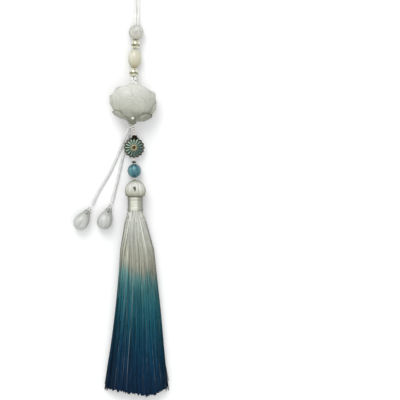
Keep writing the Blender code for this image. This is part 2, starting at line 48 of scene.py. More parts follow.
def makeCamera():
    lens = bpy.data.cameras.new("camera")
    lens.sensor_width = 36
    lens.lens = 36 * cameraSettings["away"] / cameraSettings["wide"]
    lens.clip_end = 20
    camera = bpy.data.objects.new("camera", lens)
    height = cameraSettings["level"] + cameraSettings["away"]
    camera.location = Vector((cameraSettings["overX"], cameraSettings["overY"], height)) * mm
    bpy.context.scene.collection.objects.link(camera)
    bpy.context.scene.camera = camera


makeCamera()
print("camera is set")

# Shared making of materials


# A colour written as six hex digits, in linear light.
def tint(code):
    parts = [int(code[k:k + 2], 16) / 255 for k in (0, 2, 4)]
    return [p / 12.92 if p <= 0.04045 else ((p + 0.055) / 1.055) ** 2.4 for p in parts]


def newMaterial(title, **sockets):
    material = bpy.data.materials.new(title)
    material.use_nodes = True
    shader = material.node_tree.nodes["Principled BSDF"]
    for name, value in sockets.items():
        shader.inputs[name.replace("_", " ")].default_value = value
    return material, shader


def addNode(material, kind, inputs, **settings):
    node = material.node_tree.nodes.new("ShaderNode" + kind)
    for key, value in settings.items():
        setattr(node, key, value)
    for key, value in inputs.items():
        if isinstance(value, bpy.types.NodeSocket):
            material.node_tree.links.new(value, node.inputs[key])
        else:
            node.inputs[key].default_value = value
    return node


def sums(material, operation, first, second=0.0):
    return addNode(material, "Math", {0: first, 1: second}, operation=operation).outputs[0]


# Object coordinates in millimetres, stretched and turned for a pattern.
def objectPlace(material, stretch=(1, 1, 1), turn=(0, 0, 0)):
    source = addNode(material, "TexCoord", {}).outputs["Object"]
    scale = [1000 * s for s in stretch]
    return addNode(material, "Mapping", {"Vector": source, "Rotation": turn, "Scale": scale}).outputs[0]


def clouds(material, place, scale, detail=3.0, warp=0.0):
    inputs = {"Vector": place, "Scale": scale, "Detail": detail, "Distortion": warp}
    return addNode(material, "TexNoise", inputs).outputs["Fac"]


def ramp(material, factor, *stops):
    node = addNode(material, "ValToRGB", {"Fac": factor})
    elements = node.color_ramp.elements
    elements[0].position, elements[0].color = stops[0][0], (*tint(stops[0][1]), 1)
    elements[1].position, elements[1].color = stops[-1][0], (*tint(stops[-1][1]), 1)
    for position, code in stops[1:-1]:
        elements.new(position).color = (*tint(code), 1)
    return node.outputs["Color"]


def blendColours(material, factor, first, second, how="MIX"):
    node = addNode(material, "Mix", {0: factor}, data_type="RGBA", blend_type=how)
    for socket, value in ((node.inputs[6], first), (node.inputs[7], second)):
        if isinstance(value, bpy.types.NodeSocket):
            material.node_tree.links.new(value, socket)
        else:
            socket.default_value = (*tint(value), 1)
    return node.outputs[2]


def greyMap(material, factor, low, high, fromLow=0.0, fromHigh=1.0):
    inputs = {"Value": factor, "From Min": fromLow, "From Max": fromHigh, "To Min": low, "To Max": high}
    return addNode(material, "MapRange", inputs).outputs[0]


# Painted shade: darkens a colour towards the floor, between two levels.
def shadeLow(material, colour, low, high, code, most=1.0):
    level = addNode(material, "SeparateXYZ", {"Vector": objectPlace(material)}).outputs["Z"]
    return blendColours(material, greyMap(material, level, most, 0.0, low, high), colour, code, "MULTIPLY")


def joinTo(material, shader, colour=None, roughness=None, bump=None, depth=0.05, strength=0.5):
    links = material.node_tree.links
    if colour:
        links.new(colour, shader.inputs["Base Color"])
    if roughness:
        links.new(roughness, shader.inputs["Roughness"])
    if bump:
        inputs = {"Height": bump, "Strength": strength, "Distance": depth * mm}
        links.new(addNode(material, "Bump", inputs).outputs[0], shader.inputs["Normal"])


# Shared making of pieces


# Brings a bmesh in millimetres to a finished piece that rides on the pendant.
def finishPiece(name, bm, material, nodes=(), sharp=60, marks=None):
    for point in bm.verts:
        point.co.z = max(point.co.z, 0.0)
    bmesh.ops.scale(bm, vec=(mm, mm, mm), verts=bm.verts[:])
    bmesh.ops.recalc_face_normals(bm, faces=bm.faces[:])
    mesh = bpy.data.meshes.new(name)
    bm.to_mesh(mesh)
    bm.free()
    return finishMesh(name, mesh, material, nodes, sharp, marks)


def finishMesh(name, mesh, material, nodes=(), sharp=60, marks=None):
    mesh.materials.clear()
    mesh.materials.append(material)
    mesh.shade_smooth()
    mesh.set_sharp_from_angle(angle=math.radians(sharp))
    for title, values in (marks or {}).items():
        mark = mesh.attributes.new(title, "FLOAT", "POINT")
        mark.data.foreach_set("value", np.asarray(values, dtype=np.float32))
    piece = bpy.data.objects.new(name, mesh)
    bpy.context.scene.collection.objects.link(piece)
    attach(piece, "root")
    if nodes:
        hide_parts(*nodes)
    return piece


def aimed(centre, direction):
    turn = Vector(direction).normalized().to_track_quat("Z", "Y").to_matrix().to_4x4()
    return Matrix.Translation(Vector(centre)) @ turn


# Spins a profile of (radius, height) points round Z.
def turnProfile(profile, steps, closed=True):
    bm = bmesh.new()
    corners = [bm.verts.new((radius, 0, height)) for radius, height in profile]
    pairs = list(zip(corners, corners[1:] + corners[:1])) if closed else list(zip(corners, corners[1:]))
    edges = [bm.edges.new(pair) for pair in pairs]
    bmesh.ops.spin(
        bm, geom=corners + edges, cent=(0, 0, 0), axis=(0, 0, 1), angle=2 * math.pi,
        steps=steps, use_merge=True,
    )
    bmesh.ops.remove_doubles(bm, verts=bm.verts[:], dist=0.0005)
    return bm


# Points at an even spacing on a smooth curve through the route's points.
def smoothRoute(points, spacing):
    nodes = [Vector(p) for p in points]
    nodes = [2 * nodes[0] - nodes[1], *nodes, 2 * nodes[-1] - nodes[-2]]
    fine = []
    for a, b, c, d in zip(nodes, nodes[1:], nodes[2:], nodes[3:]):
        for t in np.linspace(0, 1, 16, endpoint=False):
            fine.append(0.5 * (2 * b + (c - a) * t + (2 * a - 5 * b + 4 * c - d) * t**2
                               + (3 * b - a - 3 * c + d) * t**3))
    fine.append(nodes[-2])
    along = np.concatenate([[0], np.cumsum([(q - p).length for p, q in zip(fine, fine[1:])])])
    stations = np.linspace(0, along[-1], max(3, round(along[-1] / spacing) + 1))
    axes = [np.interp(stations, along, [p[k] for p in fine]) for k in range(3)]
    return [Vector(p) for p in zip(*axes)]


# A mesh of tubes of one section along lines of points, through Blender's own curves.
def sweepMesh(name, lines, section, turnsPerMm=0.0, cyclic=False, thins=None):
    outline = bpy.data.curves.new(name + "Section", "CURVE")
    outline.dimensions = "2D"
    ring = outline.splines.new("POLY")
    ring.points.add(len(section) - 1)
    ring.points.foreach_set("co", [v for x, y in section for v in (x * mm, y * mm, 0, 1)])
    ring.use_cyclic_u = True
    sectionObject = bpy.data.objects.new(name + "Section", outline)
    curve = bpy.data.curves.new(name + "Line", "CURVE")
    curve.dimensions = "3D"
    curve.bevel_mode = "OBJECT"
    curve.bevel_object = sectionObject
    curve.use_fill_caps = not cyclic
    for number, line in enumerate(lines):
        spline = curve.splines.new("POLY")
        spline.points.add(len(line) - 1)
        spline.use_cyclic_u = cyclic
        flat = np.ones((len(line), 4))
        flat[:, :3] = np.asarray([tuple(p) for p in line]) * mm
        spline.points.foreach_set("co", flat.ravel())
        if thins is not None:
            spline.points.foreach_set("radius", np.full(len(line), thins[number]))
        if turnsPerMm:
            steps = np.linalg.norm(np.diff(flat[:, :3], axis=0), axis=1) / mm
            turned = np.concatenate([[0], np.cumsum(steps)]) * turnsPerMm * 2 * math.pi
            spline.points.foreach_set("tilt", turned)
    guide = bpy.data.objects.new(name + "Line", curve)
    bpy.context.scene.collection.objects.link(sectionObject)
    bpy.context.scene.collection.objects.link(guide)
    graph = bpy.context.evaluated_depsgraph_get()
    mesh = bpy.data.meshes.new_from_object(guide.evaluated_get(graph))
    mesh.name = name
    for spare in (guide, sectionObject):
        bpy.data.objects.remove(spare, do_unlink=True)
    bm = bmesh.new()
    bm.from_mesh(mesh)
    bmesh.ops.remove_doubles(bm, verts=bm.verts[:], dist=0.0000005)
    bmesh.ops.recalc_face_normals(bm, faces=bm.faces[:])
    bm.to_mesh(mesh)
    bm.free()
    return mesh


def roundSection(diameter, sides):
    angles = np.linspace(0, 2 * math.pi, sides, endpoint=False)
    return [(diameter / 2 * math.cos(a), diameter / 2 * math.sin(a)) for a in angles]


# The outline of a few yarns laid together.
def plySection(diameter, plies, depth, sides=24):
    angles = np.linspace(0, 2 * math.pi, sides, endpoint=False)
    reach = [diameter / 2 * (1 - depth * (1 - math.cos(plies * a)) / 2) for a in angles]
    return [(r * math.cos(a), r * math.sin(a)) for r, a in zip(reach, angles)]


# Cords: the free loop, the two drop cords, and the strands held in the beads

cordSettings = {
    "satin": {"diameter": 1.15, "lightCode": "FAFAF6", "shadeCode": "EDEDE6",
              "underCode": "8B8B82", "ribs": 0.06, "depth": 0.02},
    "twisted": {"diameter": 1.5, "plies": 3, "furrow": 0.16, "turnsPerMm": 0.17,
                "lightCode": "EFEFED", "shadeCode": "DEDEDB",
                "underCode": "8C8C85", "ribs": 0.1, "depth": 0.05},
    "loop": [
        (0.72, 45.5, 4.25), (0.8, 47.4, 4.2), (0.88, 49.6, 3.7), (0.93, 52.4, 2.3),
        (0.86, 55.4, 1.1), (0.62, 59.0, 0.62), (0.58, 63.6, 0.6), (0.1, 68.6, 0.6),
        (-0.9, 73.4, 0.6), (-1.35, 77.6, 0.6), (-0.3, 81.2, 0.6), (2.1, 82.7, 0.6),
        (4.4, 81.0, 0.6), (5.2, 77.2, 0.6), (4.5, 73.0, 0.6), (3.3, 68.2, 0.6),
        (2.95, 63.4, 0.6), (2.9, 59.0, 0.62), (2.62, 55.4, 1.1), (2.42, 52.4, 2.3),
        (2.3, 49.6, 3.7), (2.2, 47.4, 4.2), (2.17, 45.5, 4.25),
    ],
    "drops": {
        "a": [
            (-3.2, -14.45, 7.0), (-3.95, -16.2, 6.0), (-4.75, -18.3, 4.6), (-5.7, -20.9, 2.9),
            (-7.0, -24.1, 1.45), (-8.6, -27.8, 0.85), (-10.3, -31.8, 0.77), (-12.0, -35.6, 0.77),
            (-13.8, -39.5, 0.77), (-15.7, -43.0, 0.77), (-17.8, -46.4, 0.77), (-19.8, -49.7, 0.77),
            (-21.7, -53.1, 0.8), (-23.4, -56.4, 1.1), (-24.9, -59.55, 1.75),
        ],
        "b": [
            (-2.5, -14.55, 5.4), (-2.62, -16.4, 4.3), (-2.8, -18.5, 2.9), (-3.15, -20.6, 1.6),
            (-3.9, -23.0, 0.9), (-4.95, -25.8, 0.77), (-6.0, -28.9, 0.77), (-6.9, -32.2, 0.77),
            (-7.75, -35.8, 0.77), (-8.55, -39.4, 0.77), (-9.4, -43.2, 0.77), (-10.3, -47.0, 0.77),
            (-11.3, -50.9, 0.8), (-12.3, -54.7, 1.05), (-13.2, -58.1, 1.7),
        ],
    },
    "loopLength": 79.1,
    "dropLengths": {"a": 51.7, "b": 46.2},
    "held": [
        (1.45, 45.2, 4.25), (1.25, 42.3, 4.25), (0.95, 35.3, 4.1), (0.6, 30.5, 3.85),
        (0.4, 26.9, 3.8), (0.15, 22.6, 3.8), (-0.05, 20.4, 4.05), (-0.2, 18.3, 4.55),
        (-0.2, 16.2, 5.1), (-0.12, 14.8, 5.9), (-0.05, 13.75, 6.75),
    ],
    "heldApart": 1.7, "heldThick": 1.4,
}


def makeCordMaterial(title, settings, slant):
    material, shader = newMaterial(title, Roughness=0.48, Sheen_Weight=0.35, Sheen_Roughness=0.4)
    shader.inputs["Subsurface Weight"].default_value = 0.12
    shader.inputs["Subsurface Radius"].default_value = (0.0006, 0.0006, 0.0006)
    place = objectPlace(material, turn=(0, 0, slant))
    ribs = addNode(material, "TexWave", {"Vector": place, "Scale": 0.9, "Distortion": 1.4,
                                         "Detail": 2.0, "Detail Scale": 1.5}, bands_direction="X")
    fuzz = clouds(material, place, 3.5, 4.0)
    worn = clouds(material, place, 0.35, 2.0)
    body = ramp(material, worn, (0.3, settings["shadeCode"]), (0.6, settings["lightCode"]))
    ribbed = greyMap(material, ribs.outputs["Fac"], 0.0, settings["ribs"])
    dark = blendColours(material, ribbed, body, "8F8F86")
    under = addNode(material, "Attribute", {}, attribute_name="under").outputs["Fac"]
    dark = blendColours(material, under, dark, settings["underCode"])
    mixed = sums(material, "MULTIPLY_ADD", fuzz, 0.5)
    material.node_tree.links.new(ribs.outputs["Fac"], mixed.node.inputs[2])
    joinTo(material, shader, dark, greyMap(material, fuzz, 0.38, 0.6), mixed, settings["depth"], 0.5)
    return material


# A cord's underside, where its yarns lie in their own shade
def undersideMarks(mesh):
    return {"under": [0.9 * max(0.0, min(1.0, (0.62 - v.normal.z) / 0.9)) for v in mesh.vertices]}


def makeThreadMaterial(title, dark, light):
    material, shader = newMaterial(title, Roughness=0.5, Sheen_Weight=0.2)
    place = objectPlace(material, turn=(0.4, 0.2, 0.6))
    wound = addNode(material, "TexWave", {"Vector": place, "Scale": 1.6, "Distortion": 0.6},
                    bands_direction="Y")
    colour = ramp(material, wound.outputs["Fac"], (0.2, dark), (0.8, light))
    joinTo(material, shader, colour, None, wound.outputs["Fac"], 0.04, 0.5)
    return material


threadMaterial = makeThreadMaterial("stringing thread", "A5A49C", "E6E5DE")
tieMaterial = makeThreadMaterial("drop tie thread", "77776B", "B4B4A8")
satinMaterial = makeCordMaterial("satin cord", cordSettings["satin"], 0.7)
twistedMaterial = makeCordMaterial("twisted drop cord", cordSettings["twisted"], -0.5)


def makeLoopCord():
    path = smoothRoute(cordSettings["loop"], 0.8)
    diameter = cordSettings["satin"]["diameter"]
    mesh = sweepMesh("loopCord", [path], roundSection(diameter, 16))
    marks = undersideMarks(mesh)
    piece = finishMesh("loopCord", mesh, satinMaterial, ["loop_cord"], marks=marks)


# A small tight knot: one cord tied through itself.
def makeTrefoil(name, centre, direction, size, thread, material, nodes):
    rings = np.linspace(0, 2 * math.pi, 60, endpoint=False)
    place = aimed(centre, direction)
    line = [
        place @ (Vector((math.sin(t) + 2 * math.sin(2 * t), math.cos(t) - 2 * math.cos(2 * t),
                         -1.5 * math.sin(3 * t))) * (size / 6))
        for t in rings
    ]
    section = plySection(thread, 3, 0.12, 14)
    mesh = sweepMesh(name, [line], section, cyclic=True)
    return finishMesh(name, mesh, material, nodes, marks=undersideMarks(mesh))


def makeDropCord(letter, heldPieces):
    settings = cordSettings["twisted"]
    path = smoothRoute(cordSettings["drops"][letter], 0.45)
    section = plySection(settings["diameter"], settings["plies"], settings["furrow"])
    mesh = sweepMesh("dropCord" + letter.upper(), [path], section, settings["turnsPerMm"])
    name = "dropCord" + letter.upper()
    nodes, marks = ["drop_cord_" + letter], undersideMarks(mesh)
    piece = finishMesh(name, mesh, twistedMaterial, nodes, marks=marks)


def makeHeldStrands():
    section = roundSection(cordSettings["heldThick"], 16)
    for name, node, side in (("leftStrand", "string_left", -1), ("rightStrand", "string_right", 1)):
        half = cordSettings["heldApart"] / 2
        route = [(x + side * half, y, z) for x, y, z in cordSettings["held"]]
        mesh = sweepMesh(name, [smoothRoute(route, 0.8)], section)
        finishMesh(name, mesh, satinMaterial, [node], marks=undersideMarks(mesh))


endKnots = {}
dropPlaces = {
    "a": {"centre": (-31.5, -70.1, 4.27), "heading": 32.0},
    "b": {"centre": (-17.5, -69.7, 4.27), "heading": 20.0},
}
dropDip = 12.0
tieSettings = {
    "thick": 0.42,
    # Reach from the bead's centre towards its tip, distance sideways, and lift
    "route": [
        (11.0, 0.1, 0.0), (10.2, 0.35, 0.1), (9.3, 0.85, 0.2), (8.2, 1.5, 0.3), (7.1, 2.0, 0.3),
        (6.35, 2.15, 0.1), (6.2, 1.5, 0.0),
    ],
}


# The direction from a drop bead's fat end to its tip, the same laid flat, and sideways.
def dropAxes(letter):
    heading, dip = math.radians(dropPlaces[letter]["heading"]), math.radians(dropDip)
    flat = Vector((math.sin(heading), math.cos(heading), 0))
    ahead = flat * math.cos(dip) - Vector((0, 0, math.sin(dip)))
    return ahead, flat, Vector((flat.y, -flat.x, 0))


# Two thin legs of thread from the cord's end knot, down the tip's sides, into the cross hole
def makeTie(letter):
    ahead, flat, side = dropAxes(letter)
    centre = Vector(dropPlaces[letter]["centre"])
    lines = []
    for turn in (-1, 1):
        route = [
            centre + ahead * reach + side * turn * away + Vector((0, 0, lift))
            for reach, away, lift in tieSettings["route"]
        ]
        lines.append(smoothRoute(route, 0.25))
    mesh = sweepMesh("tie" + letter.upper(), lines, roundSection(tieSettings["thick"], 8))
    return finishMesh("tie" + letter.upper(), mesh, tieMaterial, ["drop_thread_" + letter])


makeLoopCord()
for letter in dropPlaces:
    ahead, flat, side = dropAxes(letter)
    knotCentre = Vector(dropPlaces[letter]["centre"]) + ahead * 10.7
    name = "dropEndKnot" + letter.upper()
    endKnots[letter] = makeTrefoil(name, knotCentre, flat, 1.6, 0.8, twistedMaterial,
                                   ["drop_end_knot_" + letter])
    makeDropCord(letter, [endKnots[letter], makeTie(letter)])
makeHeldStrands()
makeTrefoil("lotusKnot", (0.05, 11.75, 8.2), (0, 0.3, 1), 3.3, 1.35,
            satinMaterial, ["lotus_knot"])
makeTrefoil("dropKnot", (-2.65, -13.25, 6.4), (0.3, 0.4, 1), 1.7, 0.85,
            twistedMaterial, ["drop_knot"])
print("cords are laid")

# Strung beads

beadSettings = {
    "topBead": {"across": 8.8, "along": 9.1, "bore": 2.5, "centre": (1.25, 42.3, 4.25),
                "line": (0.045, 1, 0), "node": "top_bead", "slot": "grey_agate"},
    "ovalBead": {"across": 7.9, "along": 13.2, "bore": 2.5, "centre": (0.4, 26.9, 3.8),
                 "line": (0.045, 1, 0), "node": "oval_bead", "slot": "cream_shell", "fullness": 1.5},
    "blueBead": {"across": 8.1, "along": 8.3, "bore": 1.2, "centre": (0.18, -39.4, 3.95),
                 "line": (0, 1, 0), "node": "blue_bead", "slot": "blue_agate"},
}
seedSettings = {
    "across": 2.0, "along": 1.56, "bore": 1.2,
    "places": {
        "link_bead_1": ((-0.8, -12.75, 7.55), (-0.25, 1.0, 0.6)),
        "link_bead_2": ((-0.35, -14.4, 6.6), (-0.22, 1.0, 0.62)),
        "link_bead_3": ((0.0, -15.95, 5.6), (-0.17, 1.0, 0.6)),
        "link_bead_4": ((0.2, -17.45, 4.75), (-0.1, 1.0, 0.45)),
        "pink_bead": ((-0.1, -32.75, 4.0), (0.04, 1.0, 0.02)),
        "tassel_link_bead": ((0.42, -44.3, 4.35), (-0.15, 1.0, -0.42)),
    },
}
spacerSettings = {
    "across": 5.2, "along": 4.2, "end": 4.1, "bore": 3.3,
    "places": {
        "spacer_bead_upper": ((0.95, 35.3, 4.1), (0.045, 1.0, 0.03)),
        "spacer_bead_lower": ((-0.2, 18.3, 4.55), (0.045, 1.0, -0.25)),
    },
}


# Polished agate: soft clouds drawn out into bands, with small paler inclusions.
def makeAgate(title, settings):
    material, shader = newMaterial(title, Roughness=0.3, IOR=1.54, Coat_Weight=0.3, Coat_Roughness=0.16)
    shader.inputs["Subsurface Weight"].default_value = 0.35
    shader.inputs["Subsurface Radius"].default_value = (0.0022, 0.0021, 0.0018)
    if settings.get("streaked"):
        bands = addNode(material, "Attribute", {}, attribute_name="streak").outputs["Fac"]
    else:
        bands = clouds(material, objectPlace(material, settings["stretch"]), settings["scale"], 3.0, 0.4)
    flecks = clouds(material, objectPlace(material), 1.6, 4.0)
    spread = settings["spread"]
    colour = ramp(material, bands, (0.5 - spread, settings["deep"]), (0.5, settings["middle"]),
                  (0.5 + spread, settings["pale"]))
    white = greyMap(material, flecks, 0.0, settings["flecks"], 0.55, 0.75)
    colour = blendColours(material, white, colour, "F4F2E8")
    if settings.get("warm"):
        height = addNode(material, "SeparateXYZ", {"Vector": objectPlace(material)}).outputs["Y"]
        low, high, code = settings["warm"]
        colour = blendColours(material, greyMap(material, height, 0.75, 0.0, low, high), colour, code)
    # Painted shade: the bead darker towards the floor, so its rim reads shaded from above
    low, high, code = settings["edge"]
    colour = shadeLow(material, colour, low, high, code)
    if settings.get("streaked"):
        # Painted shade: a dark dot over the cross hole near the tip, where the hole's dark inside would
        # show
        dot = addNode(material, "Attribute", {}, attribute_name="dot").outputs["Fac"]
        colour = blendColours(material, dot, colour, "2B2620")
    joinTo(material, shader, colour, greyMap(material, flecks, 0.24, 0.38), flecks, 0.02, 0.15)
    return material


# Edge is the painted shade towards the floor, as (low, high, colour) in levels above the floor, and warm
# the same in places along the pendant
agateSettings = {
    "topBead": {
        "deep": "AEAFA8", "middle": "C9C9BF", "pale": "DCDBD0", "stretch": (1, 0.6, 1), "scale": 0.5,
        "spread": 0.2, "flecks": 0.35, "edge": (3.2, 7.8, "A4A59F"), "warm": (38.2, 42.0, "D2CDB6"),
    },
    "ovalBead": {
        "deep": "CFCBB4", "middle": "DAD7C2", "pale": "EAE8DC", "stretch": (1, 0.3, 1), "scale": 0.4,
        "spread": 0.25, "flecks": 0.15, "edge": (2.6, 6.8, "A09F8E"), "warm": (22.0, 28.5, "BDB48C"),
    },
    "blueBead": {
        "deep": "2A626E", "middle": "3F7F89", "pale": "7DB5BA", "stretch": (1.0, 0.14, 0.5),
        "scale": 0.75, "spread": 0.17, "flecks": 0.06, "edge": (3.0, 7.6, "6C8488"),
    },
    "dropBead": {
        "deep": "B4B5AF", "middle": "CBCCC8", "pale": "DEDEDA", "streaked": True,
        "spread": 0.3, "flecks": 0.2, "edge": (2.4, 7.8, "9C9E96"),
    },
}
agateMaterials = {name: makeAgate(name + " agate", settings) for name, settings in agateSettings.items()}


def beadProfile(across, along, bore, points=26, rim=0.25, fullness=1.0):
    end = math.asin(((bore / 2 + rim) / (across / 2)) ** (1 / fullness))
    angles = np.linspace(end, math.pi - end, points)
    outer = [(across / 2 * math.sin(t) ** fullness, along / 2 * math.cos(t)) for t in angles]
    top = outer[0][1]
    eased, wall = bore / 2 + 0.04, bore / 2
    return [*outer, (eased, 0.06 - top), (wall, 0.3 - top), (wall, top - 0.3), (eased, top - 0.06)]


def makeBeads():
    for name, bead in beadSettings.items():
        fullness = bead.get("fullness", 1.0)
        profile = beadProfile(bead["across"], bead["along"], bead["bore"], fullness=fullness)
        bm = turnProfile(profile, 56)
        bm.transform(aimed(bead["centre"], bead["line"]))
        finishPiece(name, bm, agateMaterials[name], [bead["node"]])


def makeSeedMaterial():
    material, shader = newMaterial("glossy seed", Roughness=0.2, Coat_Weight=0.5, Coat_Roughness=0.06)
    shader.inputs["Subsurface Weight"].default_value = 0.2
    shader.inputs["Subsurface Radius"].default_value = (0.0008, 0.0008, 0.0007)
    shade = clouds(material, objectPlace(material), 0.6, 2.0)
    colour = ramp(material, shade, (0.3, "D9CFC4"), (0.5, "EDE8DE"), (0.7, "F7F5EE"))
    joinTo(material, shader, colour, greyMap(material, shade, 0.1, 0.2), shade, 0.02, 0.2)
    return material


seedMaterial = makeSeedMaterial()


def makeSeeds():
    across, along, bore = seedSettings["across"], seedSettings["along"], seedSettings["bore"]
    for node, (centre, line) in seedSettings["places"].items():
        bm = turnProfile(beadProfile(across, along, bore, 12, 0.12, 0.8), 28)
        bm.transform(aimed(centre, line))
        words = node.split("_")
        name = words[0] + "".join(w.title() for w in words[1:])
        finishPiece(name, bm, seedMaterial, [node])


def makePaleMetal():
    material, shader = newMaterial("polished pale metal", Metallic=1.0, Roughness=0.16)
    grain = clouds(material, objectPlace(material), 0.8, 2.0)
    tarnish = clouds(material, objectPlace(material), 0.3, 2.0)
    colour = ramp(material, tarnish, (0.3, "D9D6BA"), (0.55, "EDEBD4"), (0.8, "F6F5E6"))
    # Painted reflection: a dark band low on each spacer, standing in for something dark mirrored in the
    # polished metal
    band = addNode(material, "Attribute", {}, attribute_name="band").outputs["Fac"]
    colour = blendColours(material, band, colour, "5E5B3E")
    colour = shadeLow(material, colour, 2.2, 5.0, "8A876C")
    joinTo(material, shader, colour, greyMap(material, grain, 0.26, 0.34))
    return material


paleMetal = makePaleMetal()


# Barrel beads with a fine raised ring at each end.
def makeSpacers():
    half, end, bore = spacerSettings["along"] / 2, spacerSettings["end"] / 2, spacerSettings["bore"] / 2
    for node, (centre, line) in spacerSettings["places"].items():
        outer = [
            (bore + 0.06, half), (end - 0.08, half), (end, half - 0.08), (end, half - 0.3),
            (end - 0.12, half - 0.42),
        ]
        for t in np.linspace(0.26 * math.pi, 0.74 * math.pi, 15):
            outer.append((spacerSettings["across"] / 2 * math.sin(t) ** 0.55, half * math.cos(t) * 1.06))
        outer += [(r, -h) for r, h in outer[4::-1]]
        bm = turnProfile([*outer, (bore, 0.06 - half), (bore, half - 0.06)], 56)
        # Marks for the painted dark reflection band, low on the barrel
        marks = {"band": [0.85 * math.exp(-((v.co.z + 0.55) / 0.6) ** 2) for v in bm.verts]}
        bm.transform(aimed(centre, line))
        name = node.split("_")[0] + node.split("_")[2].title()
        finishPiece(name, bm, paleMetal, [node], 35, marks)


makeBeads()
makeSeeds()
makeSpacers()
print("beads are strung")

# Lotus bead: one turned form, squeezed in depth, with petals carved as relief

lotusSettings = {
    "centre": (-0.45, 1.1, 8.05), "lean": 3.0, "depth": 0.585, "steps": 420, "rings": 176,
    "bore": 1.9, "roundCore": 2.0, "squeezedFrom": 6.0,
    "form": [
        (10.6, 2.5), (10.2, 3.7), (9.6, 5.5), (8.8, 7.4), (7.7, 9.2), (6.2, 10.7), (4.5, 11.6),
        (2.5, 12.05), (0.0, 12.0), (-2.5, 11.5), (-5.0, 10.4), (-7.0, 8.8), (-8.8, 6.5),
        (-9.9, 4.6), (-11.2, 3.1), (-13.0, 2.0),
    ],
    # Petals are given from the front: turn and half width in degrees, then heights; a shell gives
    # the petal's own (height, radius) line where it leaves the turned form
    "petals": [
        {
            "turns": (32, -32, 150, -150), "half": 34, "tip": 9.9, "base": 0.0, "proud": 0.9,
            "power": 2.2, "lip": 0.1, "crimp": 0.3, "foot": -6.0, "soft": 1.0, "rise": 4.0,
        },
        {
            "turns": (-90,), "half": 38, "tip": 9.3, "base": -2.0, "power": 2.6, "lip": 0.1,
            "crimp": 0.35,
            "shell": [(-2.0, 12.2), (3.3, 12.25), (5.2, 11.7), (7.9, 10.55), (9.1, 8.7), (9.6, 6.4)],
            "soft": 0.9,
        },
        {
            "turns": (84,), "half": 40, "tip": 7.2, "base": -3.0, "power": 2.6, "lip": 0.15,
            "crimp": 0.4,
            "shell": [(-3.0, 12.6), (1.5, 13.1), (3.6, 13.35), (5.2, 13.0), (6.6, 11.8), (7.6, 10.4)],
            "soft": 0.9,
        },
        {
            "turns": (62, 128, -128), "half": 31, "tip": 5.6, "base": -1.0, "proud": 1.2, "power": 2.2,
            "lip": 0.2, "crimp": 0.6, "foot": -9.0, "soft": 1.1, "rise": 4.0,
        },
        {
            "turns": (-64, 180), "half": 33, "tip": 4.8, "base": -1.5, "proud": 1.4, "power": 2.2,
            "lip": 0.25, "crimp": 0.6, "foot": -8.0, "soft": 1.1, "rise": 4.0,
        },
        {
            "turns": (-97,), "half": 33, "tip": 3.5, "base": -2.0, "power": 2.4, "lip": 0.2,
            "crimp": 0.5, "shell": [(-6.6, 10.0), (-4.6, 12.2), (-1.3, 13.9), (1.4, 14.2), (3.0, 13.9)],
            "soft": 0.8,
        },
        {
            "turns": (96,), "half": 33, "tip": 0.9, "base": -3.6, "power": 2.4, "lip": 0.2,
            "crimp": 0.5,
            "shell": [(-7.8, 9.0), (-6.2, 12.6), (-4.1, 13.55), (-1.9, 13.95), (-0.6, 13.8), (0.6, 13.6)],
            "soft": 0.8,
        },
        {
            "turns": (150, -150), "half": 32, "tip": 2.4, "base": -3.0, "proud": 1.9, "power": 2.0,
            "lip": 0.3, "crimp": 0.7, "foot": -8.6, "soft": 1.0, "rise": 3.0,
        },
        {
            "turns": (-1,), "half": 42, "tip": 3.4, "base": -3.0, "proud": 2.25, "power": 3.0,
            "lip": 0.12, "crimp": 0.55, "foot": -10.6, "soft": 1.9, "rise": 6.0,
        },
        {
            "turns": (52, 100, 150), "half": 27, "tip": -6.4, "base": -10.6, "power": 2.4, "lip": 0.2,
            "crimp": 0.3,
            "shell": [(-11.5, 3.4), (-11.1, 7.0), (-9.9, 9.6), (-9.0, 11.2), (-7.4, 11.8), (-6.0, 11.9)],
            "soft": 0.8,
        },
        {
            "turns": (-56, -104, -154), "half": 27, "tip": -5.6, "base": -9.6, "power": 2.2, "lip": 0.2,
            "crimp": 0.3,
            "shell": [(-10.6, 3.8), (-10.1, 6.3), (-9.4, 8.2), (-8.2, 10.5), (-6.7, 12.0), (-5.4, 12.2)],
            "soft": 0.8,
        },
        {
            "turns": (2,), "half": 22, "tip": -6.3, "base": -10.0, "proud": 1.6, "power": 1.3,
            "lip": 0.2, "crimp": 0.0, "foot": -11.0, "soft": 0.9, "rise": 3.0,
        },
    ],
    "seed": {"across": 1.9, "centre": (-0.5, -8.5), "sunk": 0.1},
}


# How far the carving stands proud of the turned form, in millimetres.
def carveHeight(front, height, radius):
    proud = np.zeros_like(height)
    for tier in lotusSettings["petals"]:
        for turn in tier["turns"]:
            away = (front - turn + 180) % 360 - 180
            u = away / tier["half"]
            crimp = tier["crimp"] * (np.cos(away * 0.42 + turn) + 0.5 * np.cos(away * 0.9 + 2 * turn))
            up = np.clip((height - tier["base"]) / (tier["tip"] + crimp * 0.45 - tier["base"]), 0, 3)
            edge = (np.abs(u) ** tier["power"] + up ** tier["power"]) ** (1 / tier["power"])
            inside = (1 - edge) * radius * math.radians(tier["half"])
            step = np.clip(inside / tier["soft"], 0, 1)
            step = step * step * (3 - 2 * step)
            lip = tier["lip"] * np.exp(-((inside - 0.75) / 0.6) ** 2)
            fading = np.exp(-(np.clip(inside, 0, 9) / 1.9) ** 2)
            waves = tier["crimp"] * 0.3 * np.cos(away * 0.55 + turn) * fading
            if "shell" in tier:
                stand = np.clip(np.interp(height, *zip(*tier["shell"])) - radius, 0, 6)
                foot = np.clip(stand / 0.6, 0, 1) * (height > tier["shell"][0][0])
            else:
                stand = tier["proud"]
                foot = np.sin(np.clip((height - tier["foot"]) / tier["rise"], 0, 1) * math.pi / 2)
            spoon = 0.08 * stand * np.exp(-((np.clip(inside, 0, 9) - 3.2) / 1.6) ** 2)
            petal = step * (stand + lip + waves - spoon) * foot
            proud = np.maximum(proud, petal)
    return proud


